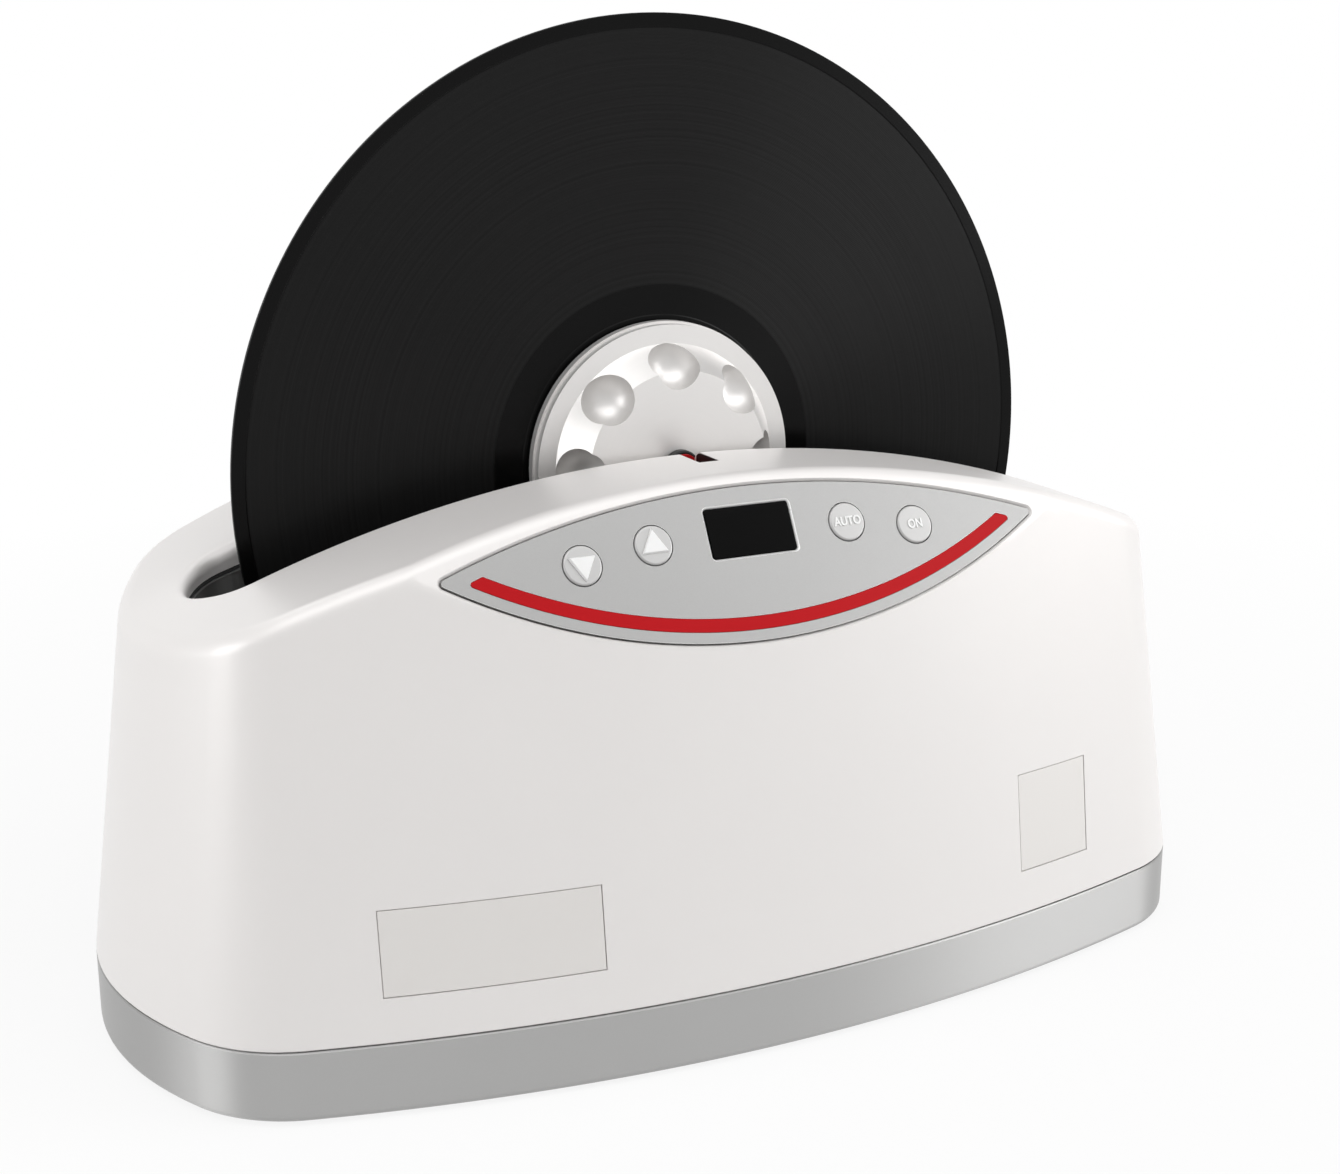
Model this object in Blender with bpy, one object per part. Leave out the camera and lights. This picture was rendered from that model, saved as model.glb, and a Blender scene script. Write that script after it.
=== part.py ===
"""Record cleaning machine: an upright record turns in a slot above an ultrasonic bath.

The front faces -Y. The origin is on the table, under the middle of the housing.
"""

import math

import bmesh
import bpy
import numpy as np
from mathutils import Matrix, Vector

# Fits: clearances between neighbouring pieces, and the overrun of every cutter
GAP = 0.0003
OVERRUN = 0.004
MERGE = 0.00001

# Record radius, and the room that the slot leaves beyond the record and the housing beyond the slot
RECORD_RADIUS = 0.15075
SLOT_END_ROOM = 0.01725
HOUSING_END_WIDTH = 0.0247

# Housing plan at the band, as a bowed rectangle with rounded corners
HOUSING_FRONT_BOW = 0.0203
HOUSING_END_BOW = 0.0098
HOUSING_CORNER = 0.0467
SIDE_DRAFT = math.radians(7.5)
FINE_STATIONS = (25, 13, 5, 5)
COARSE_STATIONS = (13, 13, 5, 4)

# Housing heights, walls and edges
SEAM_HEIGHT = 0.0255
RIM_ABOVE_AXLE = 0.0065
RIM_RADIUS = 0.427
WALL = 0.0026
RIM_FILLET = 0.0055
FACET_FILLET = 0.006
FACET_BLEND = 0.010
CREASE_MARGIN = 0.002
ARC_STEPS = 3

# Slot at the rim, its rounded lip and the throat below it
SLOT_HALF_DEPTH = 0.0280
SLOT_END_DEPTH = 0.0252
SLOT_END_BOW = 0.0035
SLOT_CORNER = 0.0180
LIP_RADIUS = 0.0050
THROAT_DEPTH = 0.0065
THROAT_SAG = 0.0055
THROAT_WALL = 0.0024

# Leaning facet that carries the control panel, clear of the drive motor behind it
PANEL_LEAN = math.radians(28.5)
PANEL_FOOT_INSET = 0.0163
PANEL_FOOT_DROP = 0.0465
MOTOR_ROOM = 0.00991614
PANEL_WALL = 0.0052

# Control panel: a lens between two arcs, measured in the plane of the facet
LOWER_ARC_RADIUS = 0.2040
LENS_DROP = 0.0026
UPPER_ARC_RADIUS = 0.3090
LENS_RISE = 0.0485
TIP_RADIUS = 0.0012
TIP_LEAST_RADIUS = 0.0003
PANEL_THICKNESS = 0.0020
PANEL_SEAM = 0.0005
PANEL_LEDGE = 0.0026
STRIP_INSET = 0.0036
STRIP_WIDTH = 0.0044
STRIP_END_INSET = 0.0045
STRIP_RECESS = 0.0008
STRIP_PROUD = 0.0002

# Display and circuit board behind the panel
DISPLAY_HALF_WIDTH = 0.0152
DISPLAY_HALF_HEIGHT = 0.0081
DISPLAY_DROP = 0.0147
DISPLAY_CORNER = 0.0008
MODULE_MARGIN = 0.0025
BOARD_SETBACK = 0.0065
BOARD_THICKNESS = 0.0016
BOARD_HALF_WIDTH = 0.0740
BOARD_LOW = 0.0060
BOARD_DROP = 0.0065
POST_RADIUS = 0.0020
POST_ACROSS = 0.0480
POST_HEIGHTS = (0.0100, 0.0380)

# Push buttons
BUTTON_RADIUS = 0.0065
BUTTON_FLANGE = 0.0078
BUTTON_FLANGE_THICKNESS = 0.0010
BUTTON_PROUD = 0.0006
BUTTON_EDGE = 0.0005
BUTTON_TRAVEL = 0.0012
BUTTON_STEM_RADIUS = 0.0018
SWITCH_HALF_WIDTH = 0.0030
SWITCH_HEIGHT = 0.0016
INNER_BUTTON_ACROSS = 0.0354
INNER_BUTTON_DROP = 0.0160
OUTER_BUTTON_ACROSS = 0.0607
OUTER_BUTTON_DROP = 0.0197

# Bare plates let into the front
PLATE_RECESS = 0.0009
PLATE_DEPTH = 0.0005
WIDE_PLATE_INSET = 0.0932
WIDE_PLATE_WIDTH = 0.0700
WIDE_PLATE_LOW = 0.0397
WIDE_PLATE_HEIGHT = 0.0278
TALL_PLATE_INSET = 0.0795
TALL_PLATE_WIDTH = 0.0332
TALL_PLATE_LOW = 0.0404
TALL_PLATE_HEIGHT = 0.0346

# Base band, bottom plate, feet and screws
BAND_SEAM = 0.0005
BAND_BOTTOM = 0.0012
BAND_EDGE = 0.0026
BAND_WALL = 0.0050
BAND_TONGUE_INSET = 0.0034
BAND_TONGUE_HEIGHT = 0.0030
LEDGE_INSET = 0.0150
LEDGE_LOW = 0.0050
LEDGE_THICKNESS = 0.0020
BOTTOM_PLATE_INSET = 0.0060
BOTTOM_PLATE_THICKNESS = 0.0020
BOTTOM_PLATE_SLACK = 0.0003
VENT_LENGTH = 0.0300
VENT_WIDTH = 0.0030
VENT_PITCH = 0.0080
VENT_COUNT = 4
VENT_END_INSET = 0.1027
VENT_SIDE_INSET = 0.0420
FOOT_RADIUS = 0.0090
FOOT_TAPER = 0.0012
FOOT_END_INSET = 0.0477
FOOT_SIDE_INSET = 0.0277
SCREW_HEAD_RADIUS = 0.0030
SCREW_HEAD_HEIGHT = 0.0014
SCREW_SHANK_RADIUS = 0.0014
SCREW_HEAD_SINK = 0.0005
SCREW_INSET = 0.0105
SCREW_SLOT_WIDTH = 0.0008
SCREW_SLOT_DEPTH = 0.0006

# Bath below the slot
TANK_STEP = 0.0008
TANK_WALL = 0.0012
TANK_FLANGE = 0.0042
TANK_FLOOR = 0.0210
TANK_BOTTOM_RADIUS = 0.0080
GASKET_THICKNESS = 0.0010
SUPPORT_RADIUS = 0.0060
SUPPORT_INSET = 0.0580

# Sound heads bonded to the long walls of the bath
TRANSDUCER_INSET = 0.1060
TRANSDUCER_RISE = 0.0590
TRANSDUCER_RADIUS = 0.0200
TRANSDUCER_FRONT = 0.0140
TRANSDUCER_STACK_RADIUS = 0.0150
TRANSDUCER_STACK = 0.0100
TRANSDUCER_BACK = 0.0120
TRANSDUCER_BACK_RADIUS = 0.0170

# Power electronics on the bottom plate
GENERATOR_SIDE_INSET = 0.0420
GENERATOR_HALF_WIDTH = 0.0450
GENERATOR_HALF_DEPTH = 0.0200
GENERATOR_STAND = 0.0060
COIL_RADIUS = 0.0100
COIL_HEIGHT = 0.0120
CAPACITOR_RADIUS = 0.0060
CAPACITOR_HEIGHT = 0.0180
HEAT_SINK_WIDTH = 0.0300
HEAT_SINK_HEIGHT = 0.0220
HEAT_SINK_DEPTH = 0.0080
TRANSFORMER_END_INSET = 0.0977
TRANSFORMER_SIDE_INSET = 0.0460
TRANSFORMER_WIDTH = 0.0420
TRANSFORMER_LENGTH = 0.0340
TRANSFORMER_HEIGHT = 0.0360
TRANSFORMER_COIL_SHARE = 0.55

# Record, held upright by its label
RECORD_BOTTOM = 0.02925
RECORD_RIM_WIDTH = 0.0048
RECORD_GROOVE_START = 0.0610
RECORD_LABEL_RADIUS = 0.0500
RECORD_THICKNESS = 0.0018
RECORD_GROOVE_THICKNESS = 0.0014
RECORD_EDGE = 0.0004
RECORD_HOLE = 0.0036
RECORD_STEPS = 60

# Label clamp: two discs sealed to the label, the front one with a raised knob scooped for the fingers
CLAMP_RADIUS = 0.0486
CLAMP_FACE = 0.0086
CLAMP_RING = 0.0072
CLAMP_KNOB = 0.0110
CLAMP_KNOB_SLOPE = 0.0078
CLAMP_BACK_KNOB = 0.0030
CLAMP_STEP = 0.0008
CLAMP_STEP_SHARE = 0.45
CLAMP_STEPS = 40
SCOOP_COUNT = 8
SCOOP_ORBIT = 0.0353
SCOOP_RADIUS = 0.0092
SCOOP_HEIGHT = 0.0068
SEAL_THICKNESS = 0.0008
SEAL_WIDTH = 0.0040
CLAMP_BOSS_RADIUS = 0.0090
CLAMP_BOSS_END = 0.0160

# Axle, its bushes and the notches that they rest in
AXLE_RADIUS = 0.0025
AXLE_CORE = 0.0033
HUB_RADIUS = 0.0065
HUB_END = 0.0226
AXLE_FRONT_END = 0.0405
AXLE_BACK_END = 0.0330
BUSH_RADIUS = 0.0035
BUSH_BORE = 0.00275
BUSH_START = 0.0245
BUSH_END = 0.0295
NOTCH_HALF_WIDTH = 0.0038
NOTCH_FRONT_END = 0.0420
NOTCH_BACK_END = 0.0345
BOSS_HALF_WIDTH = 0.0066
BOSS_LOW = 0.0053
BOSS_END_WALL = 0.0025

# Friction drive under the front end of the axle
ROLLER_RADIUS = 0.0045
ROLLER_START = 0.0315
ROLLER_END = 0.0395
ROLLER_CORE_RADIUS = 0.0032
ROLLER_SHAFT_RADIUS = 0.0015
WINDOW_SIDE_CLEARANCE = 0.0008
WINDOW_ABOVE = 0.0005
MOTOR_RADIUS = 0.0065
MOTOR_LENGTH = 0.0100
MOTOR_BORE_DEPTH = 0.0060
BRACKET_THICKNESS = 0.0014
BRACKET_HALF_WIDTH = 0.0110
BRACKET_BELOW = 0.0100
BRACKET_FLANGE = 0.0036
BRACKET_BORE = 0.0030

# Power inlet in the back wall
INLET_HEIGHT = 0.0520
INLET_HALF_WIDTH = 0.0110
INLET_HALF_HEIGHT = 0.0080
INLET_DEPTH = 0.0200
INLET_FLANGE = 0.0025
INLET_FLANGE_THICKNESS = 0.0015
INLET_SOCKET_MARGIN = 0.0025
INLET_SOCKET_DEPTH = 0.0140
INLET_PIN_RADIUS = 0.0012
INLET_PIN_ACROSS = 0.0042
INLET_PIN_LENGTH = 0.0100

# Places that follow from the sizes above
SLOT_HALF_LENGTH = RECORD_RADIUS + SLOT_END_ROOM
HOUSING_HALF_LENGTH = SLOT_HALF_LENGTH + HOUSING_END_WIDTH
AXLE_HEIGHT = RECORD_BOTTOM + RECORD_RADIUS
RIM_TOP = AXLE_HEIGHT + RIM_ABOVE_AXLE
PANEL_FOOT_HEIGHT = RIM_TOP - PANEL_FOOT_DROP
LOWER_ARC_CENTRE = LOWER_ARC_RADIUS - LENS_DROP
UPPER_ARC_CENTRE = UPPER_ARC_RADIUS - LENS_RISE
DISPLAY_HEIGHT = LENS_RISE - DISPLAY_DROP
BOARD_HIGH = LENS_RISE - BOARD_DROP
INNER_BUTTON_HEIGHT = LENS_RISE - INNER_BUTTON_DROP
OUTER_BUTTON_HEIGHT = LENS_RISE - OUTER_BUTTON_DROP
BAND_TOP = SEAM_HEIGHT - BAND_SEAM
PLATE_TOP = LEDGE_LOW - GAP
PLATE_LOW = PLATE_TOP - BOTTOM_PLATE_THICKNESS
FOOT_HEIGHT = PLATE_LOW - GAP
LABEL_FACE = RECORD_THICKNESS / 2
SEAL_START = LABEL_FACE + GAP
CLAMP_START = SEAL_START + SEAL_THICKNESS + GAP
CLAMP_KNOB_FACE = CLAMP_FACE + CLAMP_KNOB
ROLLER_HEIGHT = AXLE_HEIGHT - AXLE_RADIUS - ROLLER_RADIUS - GAP
BRACKET_TOP = RIM_TOP - WALL - 2 * GAP
BRACKET_START = NOTCH_FRONT_END + BOSS_END_WALL + GAP
MOTOR_START = BRACKET_START + BRACKET_THICKNESS + GAP
MOTOR_TOP = ROLLER_HEIGHT + MOTOR_RADIUS
PANEL_FOOT_DEPTH = MOTOR_START + MOTOR_LENGTH + MOTOR_ROOM + (MOTOR_TOP - PANEL_FOOT_HEIGHT) * math.tan(PANEL_LEAN)
HOUSING_HALF_DEPTH = PANEL_FOOT_DEPTH + PANEL_FOOT_INSET
HOUSING_END_DEPTH = HOUSING_HALF_DEPTH - HOUSING_FRONT_BOW
WIDE_PLATE_CENTRE = WIDE_PLATE_INSET - HOUSING_HALF_LENGTH
TALL_PLATE_CENTRE = HOUSING_HALF_LENGTH - TALL_PLATE_INSET
VENT_ACROSS = HOUSING_HALF_LENGTH - VENT_END_INSET
VENT_DEPTH = HOUSING_HALF_DEPTH - VENT_SIDE_INSET
FOOT_ACROSS = HOUSING_HALF_LENGTH - FOOT_END_INSET
FOOT_DEPTH = HOUSING_END_DEPTH - FOOT_SIDE_INSET
SUPPORT_ACROSS = SLOT_HALF_LENGTH - SUPPORT_INSET
TRANSDUCER_ACROSS = SLOT_HALF_LENGTH - TRANSDUCER_INSET
TRANSDUCER_HEIGHT = TANK_FLOOR + TRANSDUCER_RISE
GENERATOR_DEPTH = GENERATOR_SIDE_INSET - HOUSING_HALF_DEPTH
TRANSFORMER_ACROSS = HOUSING_HALF_LENGTH - TRANSFORMER_END_INSET
TRANSFORMER_DEPTH = TRANSFORMER_SIDE_INSET - HOUSING_HALF_DEPTH
PANEL_FRAME = Matrix.Translation((0, -PANEL_FOOT_DEPTH, PANEL_FOOT_HEIGHT)) @ Matrix.Rotation(
    math.pi / 2 - PANEL_LEAN, 4, "X"
)
FACING_FRONT = Matrix.Rotation(math.pi / 2, 4, "X")
FACING_BACK = Matrix.Rotation(-math.pi / 2, 4, "X")

for leftover in list(bpy.data.objects):
    bpy.data.objects.remove(leftover)

PARTS = bpy.data.collections.new("record_cleaning_machine")
CUTTERS = bpy.data.collections.new("cutters")
bpy.context.scene.collection.children.link(PARTS)
bpy.context.scene.collection.children.link(CUTTERS)


def material(name, colour, roughness, metallic=0.0):
    """A plain finish from the photograph."""
    finish = bpy.data.materials.new(name)
    finish.use_nodes = True
    shader = finish.node_tree.nodes["Principled BSDF"]
    shader.inputs["Base Color"].default_value = (*colour, 1)
    shader.inputs["Roughness"].default_value = roughness
    shader.inputs["Metallic"].default_value = metallic
    return finish


PEARL = material("pearl_white", (0.80, 0.78, 0.76), 0.35)
SILVER = material("silver_paint", (0.45, 0.45, 0.45), 0.35, 0.6)
PANEL_GREY = material("panel_grey", (0.48, 0.48, 0.47), 0.5, 0.3)
RED = material("signal_red", (0.57, 0.02, 0.02), 0.4)
WINDOW_BLACK = material("display_black", (0.01, 0.01, 0.01), 0.1)
CAP_GREY = material("button_white", (0.70, 0.70, 0.70), 0.3)
PLATE_CREAM = material("plate_cream", (0.72, 0.70, 0.66), 0.4)
STEEL = material("bath_steel", (0.12, 0.12, 0.12), 0.35, 0.8)
RUBBER = material("black_rubber", (0.02, 0.02, 0.02), 0.8)
BLACK = material("black_plastic", (0.015, 0.015, 0.015), 0.4)
VINYL = material("record_vinyl", (0.01, 0.01, 0.01), 0.25)
CLAMP_SILVER = material("clamp_satin", (0.68, 0.67, 0.66), 0.3, 0.4)
BOARD_GREEN = material("circuit_board", (0.02, 0.16, 0.07), 0.5)
METAL = material("bare_metal", (0.55, 0.55, 0.55), 0.3, 1.0)
COPPER = material("copper_winding", (0.55, 0.22, 0.08), 0.4, 0.9)
DARK_METAL = material("dark_sheet", (0.10, 0.10, 0.10), 0.45, 0.7)


def add(name, mesh, finish=None, place=None, collection=None):
    """Links a mesh as a part, or as a cutter when it has no finish."""
    thing = bpy.data.objects.new(name, mesh)
    (collection or (PARTS if finish else CUTTERS)).objects.link(thing)
    if place is not None:
        thing.matrix_world = place
    if finish:
        mesh.materials.clear()
        mesh.materials.append(finish)
        mesh.shade_smooth()
        mesh.set_sharp_from_angle(angle=math.radians(32))
    else:
        thing.hide_render = True
        thing.display_type = "WIRE"
    return thing


def boolean(thing, tool, operation="DIFFERENCE"):
    """Cuts a tool from a thing, joins it or keeps what they share."""
    change = thing.modifiers.new(f"{operation.lower()}_{tool.name}", "BOOLEAN")
    change.operation = operation
    change.object = tool
    change.solver = "EXACT"


def wrap(name, rings, closed=True, caps=False):
    """A mesh from matching rings of points: a tube along them, closed on itself or capped."""
    count = len(rings[0])
    bm = bmesh.new()
    rows = [[bm.verts.new(point) for point in ring] for ring in rings]
    pairs = list(zip(rows, rows[1:])) + ([(rows[-1], rows[0])] if closed else [])
    for low, high in pairs:
        for i in range(count):
            j = (i + 1) % count
            bm.faces.new((low[i], low[j], high[j], high[i]))
    if caps:
        bm.faces.new(rows[0])
        bm.faces.new(rows[-1])
    bmesh.ops.recalc_face_normals(bm, faces=bm.faces)
    mesh = bpy.data.meshes.new(name)
    bm.to_mesh(mesh)
    bm.free()
    return mesh


def block_mesh(name, low, high):
    """A box between two corners."""
    bm = bmesh.new()
    bmesh.ops.create_cube(bm, size=1.0)
    low, high = Vector(low), Vector(high)
    bmesh.ops.scale(bm, vec=high - low, verts=bm.verts)
    bmesh.ops.translate(bm, vec=(low + high) / 2, verts=bm.verts)
    mesh = bpy.data.meshes.new(name)
    bm.to_mesh(mesh)
    bm.free()
    return mesh


def rod_mesh(name, radius, start, end, steps=24, end_radius=None):
    """A rod along Z from start to end, tapered when it has an end radius."""
    bm = bmesh.new()
    bmesh.ops.create_cone(
        bm,
        cap_ends=True,
        segments=steps,
        radius1=radius,
        radius2=radius if end_radius is None else end_radius,
        depth=end - start,
    )
    bmesh.ops.translate(bm, vec=(0, 0, (start + end) / 2), verts=bm.verts)
    mesh = bpy.data.meshes.new(name)
    bm.to_mesh(mesh)
    bm.free()
    return mesh


def turned(name, outer, steps, inner=None):
    """A turned piece about Z from its outer profile of (radius, height), top first, and a bore of one radius."""
    top, bottom = outer[0][1], outer[-1][1]
    profile = list(outer)
    if inner is not None:
        profile = [(inner, top), *profile, (inner, bottom), (inner, top)]
    else:
        profile = [(0, top), *profile, (0, bottom)]
    bm = bmesh.new()
    points = [bm.verts.new((radius, 0, height)) for radius, height in (profile[:-1] if inner is not None else profile)]
    for a, b in zip(points, points[1:]):
        bm.edges.new((a, b))
    if inner is not None:
        bm.edges.new((points[-1], points[0]))
    bmesh.ops.spin(
        bm,
        geom=list(bm.verts) + list(bm.edges),
        cent=(0, 0, 0),
        axis=(0, 0, 1),
        angle=2 * math.pi,
        steps=steps,
        use_merge=True,
    )
    bmesh.ops.remove_doubles(bm, verts=bm.verts, dist=MERGE)
    bmesh.ops.recalc_face_normals(bm, faces=bm.faces)
    mesh = bpy.data.meshes.new(name)
    bm.to_mesh(mesh)
    bm.free()
    return mesh


def flat_mesh(name, outline, thickness):
    """A flat outline in XY with its thickness down from the plane, from a filled curve."""
    curve = bpy.data.curves.new(name, "CURVE")
    curve.dimensions = "2D"
    curve.fill_mode = "BOTH"
    curve.extrude = thickness / 2
    spline = curve.splines.new("POLY")
    spline.points.add(len(outline) - 1)
    for point, (x, y) in zip(spline.points, outline):
        point.co = (x, y, 0, 1)
    spline.use_cyclic_u = True
    guide = bpy.data.objects.new(name, curve)
    CUTTERS.objects.link(guide)
    mesh = bpy.data.meshes.new_from_object(guide.evaluated_get(bpy.context.evaluated_depsgraph_get()))
    bpy.data.objects.remove(guide)
    bm = bmesh.new()
    bm.from_mesh(mesh)
    bmesh.ops.remove_doubles(bm, verts=bm.verts, dist=MERGE)
    bmesh.ops.translate(bm, vec=(0, 0, -thickness / 2), verts=bm.verts)
    bmesh.ops.recalc_face_normals(bm, faces=bm.faces)
    bm.to_mesh(mesh)
    bm.free()
    return mesh


def arc(centre, radius, start, end, steps):
    """Points on a circle, both ends included."""
    angles = np.linspace(start, end, steps + 1)
    return [(centre[0] + radius * math.cos(a), centre[1] + radius * math.sin(a)) for a in angles]


def rounded_box(half_width, half_height, corner, centre=(0, 0), steps=4):
    """A rectangle with rounded corners."""
    points = []
    for turn, (sx, sy) in enumerate(((1, 1), (-1, 1), (-1, -1), (1, -1))):
        middle = (centre[0] + sx * (half_width - corner), centre[1] + sy * (half_height - corner))
        points += arc(middle, corner, turn * math.pi / 2, (turn + 1) * math.pi / 2, steps)
    return points


def arch(x):
    """Height of the arched rim."""
    return RIM_TOP - RIM_RADIUS + np.sqrt(RIM_RADIUS**2 - np.asarray(x) ** 2)


class Plan:
    """A bowed rectangle with rounded corners, as feet that the corner radius stands on and outward normals."""

    def __init__(self, half_length, half_depth, end_depth, end_bow, corner, stations):
        self.corner = corner
        front, back, end, turn_steps = stations
        a, b, e = half_length - corner, half_depth - corner, end_depth - corner
        sides = []
        for turn, count in ((1, front), (-1, back)):
            t = np.linspace(-1, 1, count)
            foot = turn * np.stack([a * t, (b - e) * t**2 - b], 1)
            tangent = turn * np.stack([a + 0 * t, 2 * (b - e) * t], 1)
            sides.append((foot, tangent))
            t = np.linspace(-1, 1, end)
            foot = turn * np.stack([a + end_bow * (1 - t**2), e * t], 1)
            tangent = turn * np.stack([-2 * end_bow * t, e + 0 * t], 1)
            sides.append((foot, tangent))
        feet, normals = [], []
        for side, (foot, tangent) in enumerate(sides):
            normal = self.outward(tangent)
            following = self.outward(sides[(side + 1) % len(sides)][1][:1])[0]
            start = math.atan2(normal[-1][1], normal[-1][0])
            turn = (math.atan2(following[1], following[0]) - start) % (2 * math.pi)
            angles = start + turn * np.linspace(0, 1, turn_steps + 2)[1:-1]
            feet += [foot, np.repeat(foot[-1:], turn_steps, 0)]
            normals += [normal, np.stack([np.cos(angles), np.sin(angles)], 1)]
        self.feet = np.concatenate(feet)
        self.normals = np.concatenate(normals)

    @staticmethod
    def outward(tangent):
        length = np.linalg.norm(tangent, axis=1)[:, None]
        return np.stack([tangent[:, 1], -tangent[:, 0]], 1) / length

    def at(self, inset):
        """The outline moved inwards, by one distance or by one for each station."""
        return self.feet + self.normals * np.reshape(self.corner - inset, (-1, 1))

    def level(self, inset, height):
        """The outline as a ring at one height, or at one height for each station."""
        outline = self.at(inset)
        return np.column_stack([outline, np.broadcast_to(height, len(outline))])

    def below_arch(self, inset, drop):
        """The outline as a ring that follows the arched rim, a drop below it."""
        outline = self.at(inset)
        return np.column_stack([outline, arch(outline[:, 0]) - drop])

    def below_seam(self, inset, drop):
        """The outline as a ring below the seam of the throat, which sags under the notches."""
        sag = THROAT_SAG * (1 - (self.at(inset)[:, 0] / SLOT_HALF_LENGTH) ** 2)
        return self.below_arch(inset, THROAT_DEPTH + sag + drop)


HOUSING_SIZES = HOUSING_HALF_LENGTH, HOUSING_HALF_DEPTH, HOUSING_END_DEPTH, HOUSING_END_BOW, HOUSING_CORNER
SLOT_SIZES = SLOT_HALF_LENGTH, SLOT_HALF_DEPTH, SLOT_END_DEPTH, SLOT_END_BOW, SLOT_CORNER
HOUSING = Plan(*HOUSING_SIZES, FINE_STATIONS)
BASE = Plan(*HOUSING_SIZES, COARSE_STATIONS)
SLOT = Plan(*SLOT_SIZES, FINE_STATIONS)
BATH = Plan(*SLOT_SIZES, COARSE_STATIONS)


def draft_inset(height, shrink=0.0):
    """How far the leaning side wall stands in from the band."""
    return shrink + math.tan(SIDE_DRAFT) * (height - SEAM_HEIGHT)


def facet_inset(height, setback=0.0):
    """How far each front station stands in to reach the leaning facet; behind, never."""
    lean = HOUSING.normals[:, 1]
    facet = -PANEL_FOOT_DEPTH + setback + (height - PANEL_FOOT_HEIGHT) * math.tan(PANEL_LEAN)
    facing = lean < -math.cos(math.pi / 4)
    inset = HOUSING.corner - (facet - HOUSING.feet[:, 1]) / np.where(facing, lean, -1)
    return np.where(facing, inset, -HOUSING.corner)


def side_rings(shrink=0.0, setback=0.0, steps=ARC_STEPS):
    """Rings up one face of the housing's side: seam, crease below the facet, and the rounded rim."""
    inset = draft_inset(RIM_TOP) * np.ones(len(HOUSING.feet))
    for _ in range(6):
        top = arch(HOUSING.at(inset)[:, 0]) - shrink
        plain, cut = draft_inset(top, shrink), facet_inset(top, setback)
        inset = np.maximum(plain, cut)
    on_facet = cut > plain
    facing = np.maximum(np.abs(HOUSING.normals[:, 1]), MERGE)
    lean = np.where(on_facet, math.tan(PANEL_LEAN) / facing, math.tan(SIDE_DRAFT))
    share = np.clip((cut - plain) / FACET_BLEND, 0, 1)
    radius = RIM_FILLET + (FACET_FILLET - RIM_FILLET) * share - shrink
    start = np.arctan(lean)
    reach = radius * np.tan((math.pi / 2 - start) / 2)
    rim = []
    for step in np.linspace(0, 1, steps + 1):
        angle = start + (math.pi / 2 - start) * step
        rim.append(
            HOUSING.below_arch(inset + reach - radius * np.cos(angle), shrink + radius - radius * np.sin(angle))
        )
    gain = (facet_inset(RIM_TOP, setback) - facet_inset(SEAM_HEIGHT, setback)) / (RIM_TOP - SEAM_HEIGHT)
    start_height = facet_inset(SEAM_HEIGHT, setback)
    meeting = SEAM_HEIGHT + (shrink - start_height) / np.maximum(gain - math.tan(SIDE_DRAFT), MERGE)
    meeting = np.where(gain > math.tan(SIDE_DRAFT), meeting, RIM_TOP)
    crease = np.minimum(meeting, rim[0][:, 2] - CREASE_MARGIN)
    return [HOUSING.level(shrink, SEAM_HEIGHT), HOUSING.level(draft_inset(crease, shrink), crease), *rim]


def lip_rings():
    """Rings over the rounded lip of the slot and down the throat, then up behind it."""
    rings = []
    for step in np.linspace(0, 1, ARC_STEPS + 1):
        angle = step * math.pi / 2
        rings.append(SLOT.below_arch(LIP_RADIUS * math.sin(angle), LIP_RADIUS * (1 - math.cos(angle))))
    behind = LIP_RADIUS - THROAT_WALL
    rings.append(SLOT.below_seam(LIP_RADIUS, 0))
    rings.append(SLOT.below_seam(behind, 0))
    rings.append(SLOT.below_arch(behind, WALL))
    return rings


def skin(name, inset):
    """A solid of the drafted body below the facet, moved inwards, for the plates let into its front."""
    height = PANEL_FOOT_HEIGHT
    return add(name, wrap(name, [HOUSING.level(inset, SEAM_HEIGHT), HOUSING.level(draft_inset(height, inset), height)], False, True))


def meet(lower_radius, upper_radius):
    """Where a lower arc and an upper arc of the lens cross, on the right."""
    span = LOWER_ARC_CENTRE + UPPER_ARC_CENTRE
    along = (span**2 + upper_radius**2 - lower_radius**2) / (2 * span)
    return math.sqrt(upper_radius**2 - along**2), along - UPPER_ARC_CENTRE


def lens(inset, steps=18, tip_steps=3):
    """The panel's lens outline, moved inwards."""
    lower, upper, tip = LOWER_ARC_RADIUS - inset, UPPER_ARC_RADIUS - inset, max(TIP_RADIUS - inset, TIP_LEAST_RADIUS)
    x, y = meet(lower - tip, upper - tip)
    low = math.atan2(y - LOWER_ARC_CENTRE, x)
    high = math.atan2(y + UPPER_ARC_CENTRE, x)
    points = arc((0, LOWER_ARC_CENTRE), lower, -math.pi - low, low, steps)
    points += arc((x, y), tip, low, high, tip_steps)[1:-1]
    points += arc((0, -UPPER_ARC_CENTRE), upper, high, math.pi - high, steps)
    points += arc((-x, y), tip, math.pi - high, math.pi - low, tip_steps)[1:-1]
    return points


def strip_outline(grow, steps=18):
    """The strip between two lower arcs, cut off along the upper arc."""
    low, high = LOWER_ARC_RADIUS - STRIP_INSET + grow, LOWER_ARC_RADIUS - STRIP_INSET - STRIP_WIDTH - grow
    upper = UPPER_ARC_RADIUS - STRIP_END_INSET + grow
    points = []
    for radius, turn in ((low, 1), (high, -1)):
        x, y = meet(radius, upper)
        end = math.atan2(y - LOWER_ARC_CENTRE, x)
        points += arc((0, LOWER_ARC_CENTRE), radius, -math.pi - end, end, steps)[::turn]
    return points


def on_panel(name, outline, front, back, finish=None):
    """A flat piece in the panel's frame between two depths, counted outwards from the facet."""
    place = PANEL_FRAME @ Matrix.Translation((0, 0, front))
    return add(name, flat_mesh(name, outline, front - back), finish, place)


def circle(centre, radius, steps=24):
    """A round outline."""
    return arc(centre, radius, 0, 2 * math.pi, steps)[:-1]


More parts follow.
